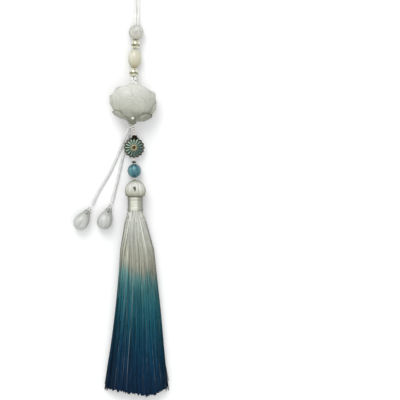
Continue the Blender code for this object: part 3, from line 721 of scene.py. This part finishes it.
def makeLotusMaterial():
    material, shader = newMaterial("milky carved glass", Roughness=0.36, IOR=1.5, Coat_Weight=0.2,
                                   Coat_Roughness=0.25)
    shader.inputs["Subsurface Weight"].default_value = 0.5
    shader.inputs["Subsurface Radius"].default_value = (0.0022, 0.0022, 0.0018)
    place = objectPlace(material)
    cloudy = clouds(material, place, 0.16, 3.0, 0.5)
    fine = clouds(material, place, 0.9, 4.0)
    # Painted light and shade: the glass lighter towards the top and darker greenish towards the bottom,
    # waved by the milky clouds
    height = addNode(material, "SeparateXYZ", {"Vector": place}).outputs["Y"]
    wavy = sums(material, "ADD", height, greyMap(material, cloudy, -5.0, 5.0))
    body = ramp(material, greyMap(material, wavy, 0.0, 1.0, -12.0, 11.0), (0.0, "767962"),
                (0.16, "919381"), (0.4, "BCBDAE"), (0.7, "CFD0C6"), (1.0, "D8D9D1"))
    body = blendColours(material, greyMap(material, fine, 0.0, 0.16, 0.45, 0.7), body, "F0F0EA")
    # Painted shade: darker towards the right side
    across = addNode(material, "SeparateXYZ", {"Vector": place}).outputs["X"]
    body = blendColours(material, greyMap(material, across, 0.0, 0.3, 2.0, 13.0), body, "8F9285")
    # Painted shade in the carving's hollows, the funnel, the bore and round the seed
    hollowShade = addNode(material, "Attribute", {}, attribute_name="hollowShade").outputs["Fac"]
    body = blendColours(material, greyMap(material, hollowShade, 0.0, 0.5), body, "7A7D6C")
    body = shadeLow(material, body, 5.0, 12.0, "B4B6AB")
    joinTo(material, shader, body, greyMap(material, fine, 0.3, 0.44), fine, 0.03, 0.2)
    return material


def makeLotus():
    settings = lotusSettings
    rows = settings["form"][::-1]
    heights = np.linspace(rows[-1][0], rows[0][0], settings["rings"])
    outer = [(float(np.interp(h, *zip(*rows))), float(h)) for h in heights]
    half = settings["bore"] / 2
    bore = [(half, heights[-1]), (half, 8.0), (1.5, 8.7), (2.0, 9.6)]
    bm = turnProfile(outer + bore, settings["steps"])
    points = np.array([tuple(v.co) for v in bm.verts])
    radius = np.hypot(points[:, 0], points[:, 1])
    front = np.degrees(np.arctan2(points[:, 1], points[:, 0])) + 90
    table = np.array(rows)
    turned = np.interp(points[:, 2], table[:, 0], table[:, 1])
    onForm = radius > np.maximum(turned - 0.05, settings["roundCore"] + 0.05)
    proud = carveHeight(front, points[:, 2], np.maximum(radius, 1.0)) * onForm
    grown = (radius + proud) / np.maximum(radius, 0.001)
    span = settings["squeezedFrom"] - settings["roundCore"]
    core = np.clip((settings["squeezedFrom"] - radius) / span, 0, 1)
    squeeze = settings["depth"] + (1 - settings["depth"]) * core
    for point, grow, flat in zip(bm.verts, grown, squeeze):
        point.co.x *= grow
        point.co.y *= grow * flat
    # Painted shade in the hollows: where the carving stands lower than the carving round about
    around = np.zeros_like(proud)
    spots = [(7, 0), (-7, 0), (0, 1.0), (0, -1.0), (4, 0.6), (-4, 0.6), (4, -0.6), (-4, -0.6)]
    for sideways, upward in spots:
        around += carveHeight(front + sideways * 0.55, points[:, 2] + upward * 0.8, np.maximum(radius, 1.0))
    hollowShade = np.clip((around / len(spots) - proud) * 1.3 - 0.05, 0, 1) * onForm
    # Painted shade also fills the bottom funnel and the bore
    funnel = np.clip((settings["roundCore"] + 1.2 - radius) / 1.5, 0, 0.9) * (points[:, 2] < -9)
    hollowShade = np.maximum(hollowShade, funnel)
    hollowShade = np.maximum(hollowShade, np.where(onForm, 0.0, 1.0))
    lean = Matrix.Rotation(math.radians(-settings["lean"]), 4, "Z")
    upright = Matrix.Rotation(math.radians(-90), 4, "X")
    place = Matrix.Translation(Vector(settings["centre"])) @ lean @ upright
    bm.transform(place)
    seedX, seedY = settings["seed"]["centre"]
    near = [v.co.z for v in bm.verts if math.hypot(v.co.x - seedX, v.co.y - seedY) < 0.6]
    seed = Vector((seedX, seedY, max(near) - settings["seed"]["sunk"]))
    pit = settings["seed"]["across"] / 2 + 0.3
    for number, point in enumerate(bm.verts):
        away = (point.co - seed).length
        if away < pit:
            point.co += (point.co - seed).normalized() * (pit - away) * 0.9
        # Painted shade round the seed's pit
        if away < pit + 0.35:
            hollowShade[number] = 1.0
    finishPiece("lotusBead", bm, makeLotusMaterial(), ["lotus"], 80, {"hollowShade": hollowShade})
    bm = bmesh.new()
    bmesh.ops.create_uvsphere(bm, u_segments=28, v_segments=18, radius=settings["seed"]["across"] / 2)
    bmesh.ops.translate(bm, vec=seed, verts=bm.verts[:])
    finishPiece("lotusSeed", bm, seedMaterial, ["lotus_seed"])


makeLotus()
print("lotus is carved")

# Coin bead: a ribbed lens in green enamel with a bronze scalloped rim

coinSettings = {
    "radius": 6.0, "half": 2.3, "centre": (0.05, -25.75, 4.1), "ribs": 16, "scallop": 0.05,
    "furrow": 0.42, "segments": 320, "rings": 48, "eye": 0.13, "eyeRim": 0.26,
}


def makeEnamel():
    material, shader = newMaterial("green enamel", Roughness=0.2, Coat_Weight=0.6, Coat_Roughness=0.06)
    rib = addNode(material, "Attribute", {}, attribute_name="rib").outputs["Fac"]
    reach = addNode(material, "Attribute", {}, attribute_name="reach").outputs["Fac"]
    grain = clouds(material, objectPlace(material), 1.3, 4.0)
    uneven = sums(material, "ADD", rib, greyMap(material, grain, -0.22, 0.22))
    enamel = ramp(material, uneven, (0.15, "082A1A"), (0.5, "14603A"), (0.72, "3D9163"), (0.95, "E2F4DC"))
    # Painted shade: the enamel darker and bluer towards the lower right
    split = addNode(material, "SeparateXYZ", {"Vector": objectPlace(material)})
    slant = sums(material, "SUBTRACT", split.outputs["X"], split.outputs["Y"])
    enamel = blendColours(material, greyMap(material, slant, 0.0, 0.82, 24.0, 31.0), enamel, "0F3A38")
    shade = ramp(material, grain, (0.35, "100E08"), (0.55, "2E2A18"), (0.8, "8C8052"))
    gold = ramp(material, grain, (0.3, "8E7A4E"), (0.7, "C6B588"))
    eye, eyeRim = coinSettings["eye"], coinSettings["eyeRim"]
    colour = blendColours(material, greyMap(material, reach, 1.0, 0.0, eyeRim, eyeRim + 0.07), enamel, gold)
    worn = sums(material, "ADD", reach, greyMap(material, grain, -0.1, 0.1))
    colour = blendColours(material, greyMap(material, worn, 0.0, 1.0, 0.8, 0.86), colour, shade)
    colour = blendColours(material, greyMap(material, reach, 1.0, 0.0, eye, eye + 0.03), colour, "0B0806")
    joinTo(material, shader, colour, greyMap(material, grain, 0.14, 0.34), grain, 0.04, 0.3)
    return material


def makeCoin():
    settings = coinSettings
    bm = bmesh.new()
    bmesh.ops.create_uvsphere(bm, u_segments=settings["segments"], v_segments=settings["rings"], radius=1.0)
    ribMarks, reachMarks = [], []
    for point in bm.verts:
        x, y, z = point.co
        reach = min(1.0, math.hypot(x, y))
        wave = math.cos(settings["ribs"] * math.atan2(y, x))
        ridge = abs((1 + wave) / 2) ** 2.6
        radius = settings["radius"] * (1 + settings["scallop"] * wave * reach ** 3)
        height = settings["half"] * abs(z) ** 0.7 - 0.12
        height -= settings["furrow"] * (1 - ridge) * min(1.0, reach * 2) * min(1.0, abs(z) * 3)
        eye = settings["eye"]
        height += 0.16 * math.exp(-((reach - eye - 0.07) / 0.05) ** 2)
        height -= 0.75 * (0.5 - 0.5 * math.tanh((reach - eye) / 0.02))
        point.co = (x * radius, y * radius, math.copysign(max(height, 0.0), z) if abs(z) > 0.001 else 0.0)
        ribMarks.append(ridge)
        reachMarks.append(reach)
    bmesh.ops.translate(bm, vec=settings["centre"], verts=bm.verts[:])
    marks = {"rib": ribMarks, "reach": reachMarks}
    finishPiece("coinBead", bm, makeEnamel(), ["coin_bead"], 50, marks)


def makeBronze():
    material, shader = newMaterial("dark bronze", Metallic=1.0, Roughness=0.38)
    pitted = clouds(material, objectPlace(material), 2.6, 5.0)
    broad = clouds(material, objectPlace(material), 0.7, 2.0)
    colour = ramp(material, broad, (0.3, "0F0C08"), (0.6, "2A2216"), (0.9, "7A6C48"))
    joinTo(material, shader, colour, greyMap(material, pitted, 0.28, 0.5), pitted, 0.05, 0.5)
    return material


bronzeMaterial = makeBronze()
makeCoin()
for node in ("coin_cap", "collar"):
    bpy.data.objects[node].material_slots[0].material = bronzeMaterial
print("coin bead is enamelled")

# Drop beads: teardrops with a cross hole near the tip

dropSettings = {
    "radius": 4.45, "tip": 9.1, "back": 4.4, "blunt": 0.72, "hole": 6.2, "holeAcross": 1.1, "dot": 0.62,
    "steps": 56, "rings": 44, "streaks": 0.42,
}


def makeDropBeads():
    settings = dropSettings
    half, middle = (settings["tip"] + settings["back"]) / 2, (settings["tip"] - settings["back"]) / 2
    for letter, place in dropPlaces.items():
        ahead, flat, side = dropAxes(letter)
        turns = np.linspace(0, math.pi, settings["rings"])
        reach = np.sin(turns) * np.sin(turns / 2) ** settings["blunt"]
        reach *= settings["radius"] / reach.max()
        profile = [(max(r, 0.0), middle + half * math.cos(t)) for r, t in zip(reach, turns)]
        bm = turnProfile(profile, settings["steps"], closed=False)
        streaks = []
        for point in bm.verts:
            angle = math.atan2(point.co.y, point.co.x)
            far = point.co.z * 0.16 + place["heading"]
            spot = Vector((3.4 * math.cos(angle), 3.4 * math.sin(angle), far))
            streaks.append(0.5 + settings["streaks"] * noise.noise(spot * 1.3))
        bm.transform(aimed(place["centre"], ahead))
        hole = Vector(place["centre"]) + ahead * settings["hole"]
        # A painted shade dot on the upper side over the hole
        dots = []
        for point in bm.verts:
            away = math.hypot((point.co - hole).dot(side) - 0.1, (point.co - hole).dot(ahead))
            dots.append(max(0.0, min(1.0, (settings["dot"] - away) / 0.3)) if point.co.z > hole.z else 0.0)
        name = "dropBead" + letter.upper()
        nodes, marks = ["drop_bead_" + letter], {"streak": streaks, "dot": dots}
        piece = finishPiece(name, bm, agateMaterials["dropBead"], nodes, marks=marks)
        hole = bmesh.new()
        bmesh.ops.create_cone(hole, cap_ends=True, segments=24, radius1=settings["holeAcross"] / 2,
                              radius2=settings["holeAcross"] / 2, depth=12)
        hole.transform(aimed(Vector(place["centre"]) + ahead * settings["hole"], side))
        bmesh.ops.scale(hole, vec=(mm, mm, mm), verts=hole.verts[:])
        drillMesh = bpy.data.meshes.new("drill")
        hole.to_mesh(drillMesh)
        hole.free()
        drill = bpy.data.objects.new("drill", drillMesh)
        bpy.context.scene.collection.objects.link(drill)
        cut = piece.modifiers.new("hole", "BOOLEAN")
        cut.operation, cut.solver, cut.object = "DIFFERENCE", "EXACT", drill
        graph = bpy.context.evaluated_depsgraph_get()
        holed = bpy.data.meshes.new_from_object(piece.evaluated_get(graph))
        piece.modifiers.clear()
        piece.data = holed
        bpy.data.objects.remove(drill, do_unlink=True)


makeDropBeads()


bpy.data.objects["stringing_thread"].material_slots[0].material = threadMaterial
print("drop beads are hung")

# Tassel: a silk-covered head, a wound neck, and a skirt of fine strands

tasselSettings = {
    "axis": (0.78, 5.98),
    "head": [
        (-55.0, 3.7), (-54.6, 4.7), (-54.45, 5.2), (-54.0, 5.55), (-53.2, 5.85), (-52.0, 6.08),
        (-50.6, 6.1), (-49.4, 5.86), (-48.4, 5.48), (-47.4, 4.92), (-46.6, 4.28), (-45.9, 3.5),
        (-45.5, 2.8), (-45.2, 2.0), (-45.08, 1.4), (-45.2, 0.95), (-45.6, 0.75), (-47.8, 0.7),
    ],
    "headDrop": [
        (-55.0, 0.0), (-50.7, 0.0), (-48.4, 0.1), (-46.6, 0.35), (-45.5, 0.7), (-45.1, 0.85), (-44.0, 0.87),
    ],
    "headThreads": 58,
    "wrapTop": -55.0, "wrapBottom": -63.3, "wrapRadius": 4.45, "pitch": 0.36,
}


def makeSilkHeadMaterial():
    material, shader = newMaterial("silk head", Roughness=0.42, Sheen_Weight=0.3, Sheen_Roughness=0.35)
    place = objectPlace(material)
    split = addNode(material, "SeparateXYZ", {"Vector": place})
    across = sums(material, "SUBTRACT", split.outputs["X"], tasselSettings["axis"][0])
    upward = sums(material, "SUBTRACT", split.outputs["Z"], tasselSettings["axis"][1])
    angle = sums(material, "ARCTAN2", upward, across)
    loose = clouds(material, objectPlace(material, (1, 0.35, 1)), 0.8, 3.0)
    turned = sums(material, "MULTIPLY", angle, float(tasselSettings["headThreads"]))
    turned = sums(material, "ADD", turned, greyMap(material, loose, -4.0, 4.0))
    fibre = greyMap(material, sums(material, "SINE", turned), 0.0, 1.0, -1.0, 1.0)
    sectors = addNode(material, "CombineXYZ", {"X": sums(material, "MULTIPLY", angle, 6.0)}).outputs[0]
    lock = clouds(material, sectors, 1.4, 2.0)
    # Painted light and shade: the dome lightest on top and darker towards the wrap below
    body = ramp(material, greyMap(material, split.outputs["Y"], 0.0, 1.0, -54.6, -45.5), (0.0, "8C8C74"),
                (0.2, "CFCFBF"), (0.45, "F0F0E6"), (0.85, "FAFAF4"), (1.0, "E6E6DC"))
    body = blendColours(material, greyMap(material, fibre, 0.45, 0.0), body, "85856F")
    body = blendColours(material, greyMap(material, lock, 0.75, 0.0, 0.32, 0.52), body, "8A8A74")
    body = shadeLow(material, body, 5.6, 10.6, "8E8E7C")
    # Painted shade: the slit where the threads part is coloured near black
    slit = addNode(material, "Attribute", {}, attribute_name="slit").outputs["Fac"]
    body = blendColours(material, slit, body, "2E1F14")
    joinTo(material, shader, body, greyMap(material, loose, 0.34, 0.52), fibre, 0.09, 0.7)
    return material


# A narrow wedge where the head's threads part.
def slitDepth(x, y):
    along = (y + 48.5) / -3.2
    if not 0 < along < 1:
        return 0.0
    middle = 0.1 + 0.95 * along
    width = 1.15 * (1 - along) ** 0.8 + 0.14
    return max(0.0, min(1.0, 1.5 - 1.5 * abs(x - middle) / width)) * min(1.0, along * 6)


def makeHead():
    axisX, axisZ = tasselSettings["axis"]
    bm = turnProfile([(r, y) for y, r in tasselSettings["head"]], 180, closed=False)
    dropTable = list(zip(*sorted(tasselSettings["headDrop"])))
    bmesh.ops.holes_fill(bm, edges=[e for e in bm.edges if e.is_boundary], sides=0)
    marks = []
    for point in bm.verts:
        x, z, y = point.co.x, -point.co.y, point.co.z
        radius = math.hypot(x, z)
        angle = math.atan2(z, x)
        spot = Vector((3 * math.cos(angle), 3 * math.sin(angle), y * 0.2))
        ripple = 0.05 * math.sin(tasselSettings["headThreads"] * angle) + 0.09 * noise.noise(spot)
        grow = 1 + ripple / max(radius, 1.0)
        x, z = x * grow, z * grow
        slit = slitDepth(axisX + x, y) if z > 0 else 0.0
        drop = float(np.interp(y, *dropTable))
        point.co = (axisX + x, y, axisZ - drop + z - 0.7 * slit)
        marks.append(min(1.0, slit * 1.8))
    finishPiece("tasselHead", bm, makeSilkHeadMaterial(), ["tassel"], 70, {"slit": marks})


def makeWrapMaterial():
    material, shader = newMaterial("wound silk", Roughness=0.34, Metallic=0.15)
    place = objectPlace(material)
    loose = clouds(material, objectPlace(material, (0.15, 2.4, 0.15)), 0.9, 4.0)
    split = addNode(material, "SeparateXYZ", {"Vector": place})
    turned = sums(material, "MULTIPLY", split.outputs["Y"], 2 * math.pi / tasselSettings["pitch"] * 2)
    fibre = greyMap(material, sums(material, "SINE", turned), 0.0, 1.0, -1.0, 1.0)
    body = ramp(material, loose, (0.25, "C9CABC"), (0.5, "E9EADD"), (0.7, "FBFBF2"))
    body = blendColours(material, greyMap(material, fibre, 0.2, 0.0), body, "85867A")
    # Painted sheen: a bright middle and dark sides across the wrap, multiplied into its colour
    middle, reach = tasselSettings["axis"][0], tasselSettings["wrapRadius"]
    across = greyMap(material, split.outputs["X"], 0.0, 1.0, middle - reach, middle + reach)
    paintedSheen = ramp(material, across, (0.0, "8E8D88"), (0.13, "A4A39E"), (0.24, "F4F4EE"), (0.6, "FFFFFF"),
                 (0.72, "BDBDB4"), (1.0, "8E8E84"))
    body = blendColours(material, 0.85, body, paintedSheen, "MULTIPLY")
    body = shadeLow(material, body, 5.4, 9.6, "8A8A82")
    joinTo(material, shader, body, greyMap(material, loose, 0.24, 0.42), fibre, 0.05, 0.6)
    return material


def makeWrap():
    top, bottom = tasselSettings["wrapTop"], tasselSettings["wrapBottom"]
    radius = tasselSettings["wrapRadius"]
    turns = int((top - bottom) / tasselSettings["pitch"])
    outer = []
    for step in range(turns * 6 + 1):
        y = top + (bottom - top) * step / (turns * 6)
        cord = 0.07 * abs(math.sin(math.pi * step / 6))
        ends = 0.24 * math.exp(-((y + 55.75) / 0.55) ** 2) + 0.24 * math.exp(-((y + 62.3) / 0.7) ** 2)
        groove = 0.3 * math.exp(-((y + 56.75) / 0.14) ** 2)
        outer.append((radius - 0.05 + cord + ends - groove, y))
    profile = [(radius - 0.7, top - 0.1), *outer, (radius - 0.7, bottom + 0.1)]
    bm = turnProfile(profile, 96)
    axisX, axisZ = tasselSettings["axis"]
    for point in bm.verts:
        point.co = (axisX + point.co.x, point.co.z, axisZ - point.co.y)
    finishPiece("neckWrap", bm, makeWrapMaterial(), ["tassel_wrap"], 80)


skirtSettings = {
    "seed": 11, "locks": 84, "strands": 4300, "points": 12, "thick": 0.42,
    # y along the skirt, its middle, half width, lowest and highest level, and how far it has spread
    "sections": [
        (-62.9, 0.8, 4.0, 1.9, 10.05, 0.0), (-63.9, 0.85, 4.75, 1.23, 10.73, 0.0),
        (-67.5, 0.95, 5.9, 0.75, 10.5, 0.15), (-74.3, 1.2, 7.3, 0.35, 9.6, 0.4),
        (-86.1, 1.85, 9.9, 0.1, 8.5, 0.8), (-97.9, 2.0, 10.9, 0.05, 7.9, 0.95),
        (-115.6, 2.3, 12.5, 0.0, 7.4, 1.0), (-139.2, 2.0, 14.9, 0.0, 7.0, 1.0),
        (-151.0, 1.7, 16.3, 0.0, 6.8, 1.0), (-170.6, 1.85, 18.6, 0.0, 6.5, 1.0),
    ],
    "crownFall": 0.5, "hemRise": 4.6, "uneven": 0.9, "strays": 46,
    "lowestAcross": 0.28, "hemLowest": -171.2, "leftRise": 4.4, "rightRise": 6.2,
}
sectionTable = np.array(skirtSettings["sections"])[::-1]


# The cut hem: lowest right of the middle, rising slowly to the left and fast to the right.
def hemLevel(across):
    settings = skirtSettings
    away = across - settings["lowestAcross"]
    if away < 0:
        rise = settings["leftRise"] * (-away / (1 + settings["lowestAcross"])) ** 1.1
    else:
        rise = settings["rightRise"] * (away / (1 - settings["lowestAcross"])) ** 2.4
    return settings["hemLowest"] + rise


# Where a strand at (across, up) of the bundle lies at a station of the skirt.
def skirtPlace(y, across, up):
    x, half, low, high, spread = [np.interp(y, sectionTable[:, 0], sectionTable[:, k]) for k in range(1, 6)]
    discX = across * np.sqrt(np.clip(1 - up * up / 2, 0, 1))
    discZ = (low + high) / 2 + (high - low) / 2 * up * np.sqrt(np.clip(1 - across * across / 2, 0, 1))
    heapZ = low + (high - low) * (1 - skirtSettings["crownFall"] * np.abs(across) ** 2.5) * (up + 1) / 2
    return x + half * (discX + (across - discX) * spread), discZ + (heapZ - discZ) * spread


def makeSilkFade():
    material, shader = newMaterial("faded silk strands", Roughness=0.42)
    shader.inputs["Specular IOR Level"].default_value = 0.1
    lock = addNode(material, "Attribute", {}, attribute_name="lock").outputs["Fac"]
    pale = addNode(material, "Attribute", {}, attribute_name="pale").outputs["Fac"]
    place = objectPlace(material)
    split = addNode(material, "SeparateXYZ", {"Vector": place})
    soaked = clouds(material, objectPlace(material, (1, 0.12, 1)), 0.35, 3.0)
    along = greyMap(material, split.outputs["Y"], 0.0, 1.0, -63.0, -172.0)
    along = sums(material, "ADD", along, greyMap(material, soaked, -0.045, 0.045))
    along = sums(material, "ADD", along, greyMap(material, lock, -0.02, 0.02))
    lowerRight = greyMap(material, split.outputs["X"], -0.045, 0.03, -10.0, 14.0)
    along = sums(material, "SUBTRACT", along, lowerRight)
    body = ramp(
        material, along, (0.0, "FDFDF4"), (0.1, "F2F3E8"), (0.2, "DADBCB"), (0.29, "C4C3AF"),
        (0.325, "A9B0A2"), (0.37, "6FA09D"), (0.43, "45838A"), (0.52, "2B7280"), (0.62, "1A5F73"),
        (0.72, "0F4C66"), (0.84, "0A3C5A"), (1.0, "082E4E"),
    )
    lane = addNode(material, "Attribute", {}, attribute_name="lane").outputs["Fac"]
    bands = []
    for width in (13.0, 34.0):  # coarse and fine streaks along the strands
        spread = sums(material, "MULTIPLY", lane, width)
        place = addNode(material, "CombineXYZ", {"X": spread, "Y": along}).outputs[0]
        bands.append(clouds(material, place, 1.0, 2.0))
    streak = sums(material, "ADD", *bands)
    dim = greyMap(material, streak, 1.0, 0.0, 0.78, 1.04)
    body = blendColours(material, dim, body, "6C6C64", "MULTIPLY")
    body = blendColours(material, greyMap(material, lock, 0.7, 0.0, 0.0, 0.6), body, "5A6266", "MULTIPLY")
    # Painted highlight: the brightest streaks are lifted by adding the colour to itself
    body = blendColours(material, greyMap(material, streak, 0.0, 0.4, 1.0, 1.25), body, body, "ADD")
    body = blendColours(material, pale, body, "B9C0BC")
    body = shadeLow(material, body, 1.0, 6.5, "8A8C86")
    dust = clouds(material, objectPlace(material, (3, 0.3, 3)), 1.0, 2.0)
    joinTo(material, shader, body, greyMap(material, dust, 0.28, 0.5), dust, 0.03, 0.3)
    return material


# Lines of points for strands in the given layers, with each strand's lock and its line across the bundle.
def strandLines(count, chance, layers):
    settings = skirtSettings
    lines, locks, pales = [], [], []
    lockTable = [
        {"across": -1 + 2 * (k + chance.uniform(0.2, 0.8)) / settings["locks"],
         "lift": chance.uniform(-0.1, 0.1),
         "phase": chance.uniform(0, 6.28), "drift": chance.uniform(-0.03, 0.03), "shade": chance.random(),
         "drop": chance.gauss(0, 0.45)}
        for k in range(settings["locks"])
    ]
    lockTable.sort(key=lambda lock: lock["across"])
    for k in range(count):
        across, up = layers(chance)
        number = int((across + 1) / 2 * settings["locks"] + chance.gauss(0, 0.5))
        lock = lockTable[min(max(number, 0), settings["locks"] - 1)]
        across += (lock["across"] - across) * 0.45 if abs(lock["across"] - across) < 0.08 else 0.0
        end = hemLevel(across) + lock["drop"] + chance.gauss(0, settings["uneven"] * 0.4)
        start = -63.0 + chance.uniform(0, 0.3)
        t = np.linspace(0, 1, settings["points"])
        y = start + (end - start) * t ** 1.15
        sway = lock["drift"] * np.sin(t * 4.2 + lock["phase"]) * t
        own = 0.02 * np.sin(t * chance.uniform(3, 8) + chance.uniform(0, 6.28)) * t
        acrossLine = np.clip(across + sway + own, -1.02, 1.02)
        upLine = np.clip(up + lock["lift"] * (0.4 + 0.6 * t) + 0.03 * np.sin(t * 5 + k) * t, -1, 1.06)
        x, z = skirtPlace(np.maximum(y, -170.6), acrossLine, upLine)
        lines.append(np.stack([x, y, np.maximum(z, 0.2)], axis=1))
        locks.append(min(1.0, max(0.0, lock["shade"] * 0.8 + chance.random() * 0.3 - 0.05)))
        pales.append(acrossLine)
    return lines, locks, pales


def upperLayer(chance):
    return chance.uniform(-1, 1), 1 - abs(chance.gauss(0, 0.06))


def sideLayer(chance):
    side = chance.choice((-1, 1))
    return side * (1 - abs(chance.gauss(0, 0.07))), chance.uniform(-1, 1)


def lowerLayer(chance):
    if chance.random() < 0.45:
        return chance.uniform(-1, 1), -1 + abs(chance.gauss(0, 0.1))
    return chance.uniform(-1, 1), chance.uniform(-1, 0.9)


def makeStrandPiece(name, lines, locks, pales, lanes, material):
    mesh = sweepMesh(name, lines, roundSection(skirtSettings["thick"], 3))
    perStrand = len(mesh.vertices) // len(lines)
    perPoint = perStrand // skirtSettings["points"]
    marks = {
        "lock": np.repeat(np.array(locks), perStrand), "pale": np.repeat(np.concatenate(pales), perPoint),
        "lane": np.repeat(np.concatenate(lanes), perPoint),
    }
    piece = finishMesh(name, mesh, material, ["tassel"], 180, marks)
    softenNormals(mesh, np.concatenate(lines), perPoint)
    return piece


# Turns each strand's normals part of the way to the whole skirt's, as silk shades.
def softenNormals(mesh, points, perPoint):
    own = np.array([tuple(v.normal) for v in mesh.vertices])
    table = [np.interp(points[:, 1], sectionTable[:, 0], sectionTable[:, k]) for k in range(1, 5)]
    middle, half, low, high = table
    across = (points[:, 0] - middle) / half
    upward = (points[:, 2] - low) / (high - low) - 0.25
    heap = np.stack([across * np.abs(across) * 1.2, np.zeros(len(points)), upward], axis=1)
    heap /= np.maximum(np.linalg.norm(heap, axis=1, keepdims=True), 0.001)
    heap = np.repeat(heap, perPoint, axis=0)
    mixed = own * 0.45 + heap * 0.55
    mixed /= np.maximum(np.linalg.norm(mixed, axis=1, keepdims=True), 0.001)
    mesh.normals_split_custom_set_from_vertices(mixed.tolist())


# A faint greyer streak low on the right side of the teal part.
def greyStreak(line, acrossLine):
    window = np.exp(-((line[:, 1] + 118) / 17) ** 2)
    return 0.38 * np.exp(-((acrossLine - 0.62) / 0.1) ** 2) * window


# Loose pale strands that leave the skirt's edges.
def makeStrays(chance, material):
    lines, locks, pales, lanes = [], [], [], []
    for k in range(skirtSettings["strays"]):
        left = k % 3 != 2
        side = -1 if left else 1
        t = np.linspace(0, 1, skirtSettings["points"])
        y = -64 - (chance.uniform(98, 106)) * t
        leave = chance.uniform(0.5, 0.78)
        push = np.clip(t - leave, 0, 1) ** 1.4 * chance.uniform(0.1, 0.45)
        back = push * np.clip((t - leave - 0.15) * 1.6, 0, 1) * chance.uniform(0, 0.9)
        acrossLine = side * (chance.uniform(0.86, 0.97) + push - back)
        x, z = skirtPlace(y, acrossLine, np.full(len(t), chance.uniform(-0.9, 0.6)))
        z = np.where(np.abs(acrossLine) > 1, np.minimum(z, 1.2), z)
        lines.append(np.stack([x, y, np.maximum(z, 0.2)], axis=1))
        locks.append(0.8)
        pales.append(np.clip((t - leave) * 4, 0, 1) * chance.uniform(0.3, 1.0) * (1.0 if left else 0.5))
        lanes.append(acrossLine)
    makeStrandPiece("skirtStrays", lines, locks, pales, lanes, material)


# A filled heap inside the strands, so that no light comes through them.
def makeSkirtCore(material):
    stations = np.linspace(-62.95, -169.0, 26)
    bm = bmesh.new()
    sides = 56
    ring = bmesh.ops.create_circle(bm, cap_ends=False, segments=sides, radius=1.0)["verts"]
    edges = [edge for edge in bm.edges]
    squares = [Vector((v.co.x, v.co.y)) / max(abs(v.co.x), abs(v.co.y)) for v in ring]
    shapes = {vert: square for vert, square in zip(ring, squares)}

    def placeRing(verts, y):
        for vert in verts:
            across, up = shapes[vert]
            rise = skirtSettings["hemRise"] * across * across if y < -168.9 else 0.0
            x, z = skirtPlace(y, across * 0.965, up * 0.9)
            vert.co = (float(x), y + rise, max(float(z), 0.05))

    placeRing(ring, stations[0])
    bmesh.ops.contextual_create(bm, geom=edges)
    for y in stations[1:]:
        before = {vert.co.copy().freeze(): shapes[vert] for vert in ring}
        grown = bmesh.ops.extrude_edge_only(bm, edges=edges)["geom"]
        edges = [item for item in grown if isinstance(item, bmesh.types.BMEdge)]
        ring = [item for item in grown if isinstance(item, bmesh.types.BMVert)]
        for vert in ring:
            shapes[vert] = before[vert.co.copy().freeze()]
        placeRing(ring, y)
    bmesh.ops.contextual_create(bm, geom=edges)
    count = len(bm.verts)
    marks = {"lock": np.full(count, 0.4), "pale": np.zeros(count), "lane": np.full(count, 0.3)}
    finishPiece("skirtCore", bm, material, ["tassel"], 60, marks)


def makeSkirt():
    chance = random.Random(skirtSettings["seed"])
    material = makeSilkFade()
    makeSkirtCore(material)
    layers = (
        ("skirtUpper", 0.56, upperLayer), ("skirtSides", 0.14, sideLayer), ("skirtLower", 0.3, lowerLayer),
    )
    for name, share, layer in layers:
        lines, locks, acrossLines = strandLines(int(skirtSettings["strands"] * share), chance, layer)
        pales = [greyStreak(line, across) for line, across in zip(lines, acrossLines)]
        makeStrandPiece(name, lines, locks, pales, acrossLines, material)
    makeStrays(chance, material)


makeHead()
makeWrap()
makeSkirt()
print("tassel is made")

# Floor and light

studioSettings = {
    "world": 0.72, "key": 5.6, "fill": 1.7, "floorCode": "FBFBFA", "floorGlow": 0.1,
}


def makeStudio():
    scene = bpy.context.scene
    scene.view_settings.view_transform = "Standard"
    scene.view_settings.look = "None"
    world = bpy.data.worlds.new("studio")
    scene.world = world
    world.use_nodes = True
    world.node_tree.nodes["Background"].inputs["Color"].default_value = (0.97, 0.985, 1.0, 1)
    world.node_tree.nodes["Background"].inputs["Strength"].default_value = studioSettings["world"]
    bm = bmesh.new()
    bmesh.ops.create_grid(bm, x_segments=2, y_segments=2, size=1.5)
    bmesh.ops.translate(bm, vec=(0, 0, -0.00003), verts=bm.verts[:])
    mesh = bpy.data.meshes.new("floor")
    bm.to_mesh(mesh)
    bm.free()
    floor = bpy.data.objects.new("floor", mesh)
    scene.collection.objects.link(floor)
    material, shader = newMaterial("pale floor", Roughness=0.9)
    paper = clouds(material, objectPlace(material), 0.02, 2.0)
    joinTo(material, shader, ramp(material, paper, (0.3, studioSettings["floorCode"]), (0.7, "FDFDFC")))
    shader.inputs["Emission Color"].default_value = (1, 1, 1, 1)
    shader.inputs["Emission Strength"].default_value = studioSettings["floorGlow"]
    mesh.materials.append(material)
    lights = {
        "keyLight": {"place": (-0.25, 0.75, 0.85), "size": 0.7, "power": studioSettings["key"]},
        "fillLight": {"place": (0.5, -0.6, 0.9), "size": 0.9, "power": studioSettings["fill"]},
    }
    for name, light in lights.items():
        data = bpy.data.lights.new(name, "AREA")
        data.shape, data.size, data.energy = "SQUARE", light["size"], light["power"]
        lamp = bpy.data.objects.new(name, data)
        lamp.location = light["place"]
        lamp.rotation_mode = "QUATERNION"
        target = Vector((0, -0.05, 0)) - Vector(light["place"])
        lamp.rotation_quaternion = target.to_track_quat("-Z", "Y")
        scene.collection.objects.link(lamp)


makeStudio()
print("studio is lit")
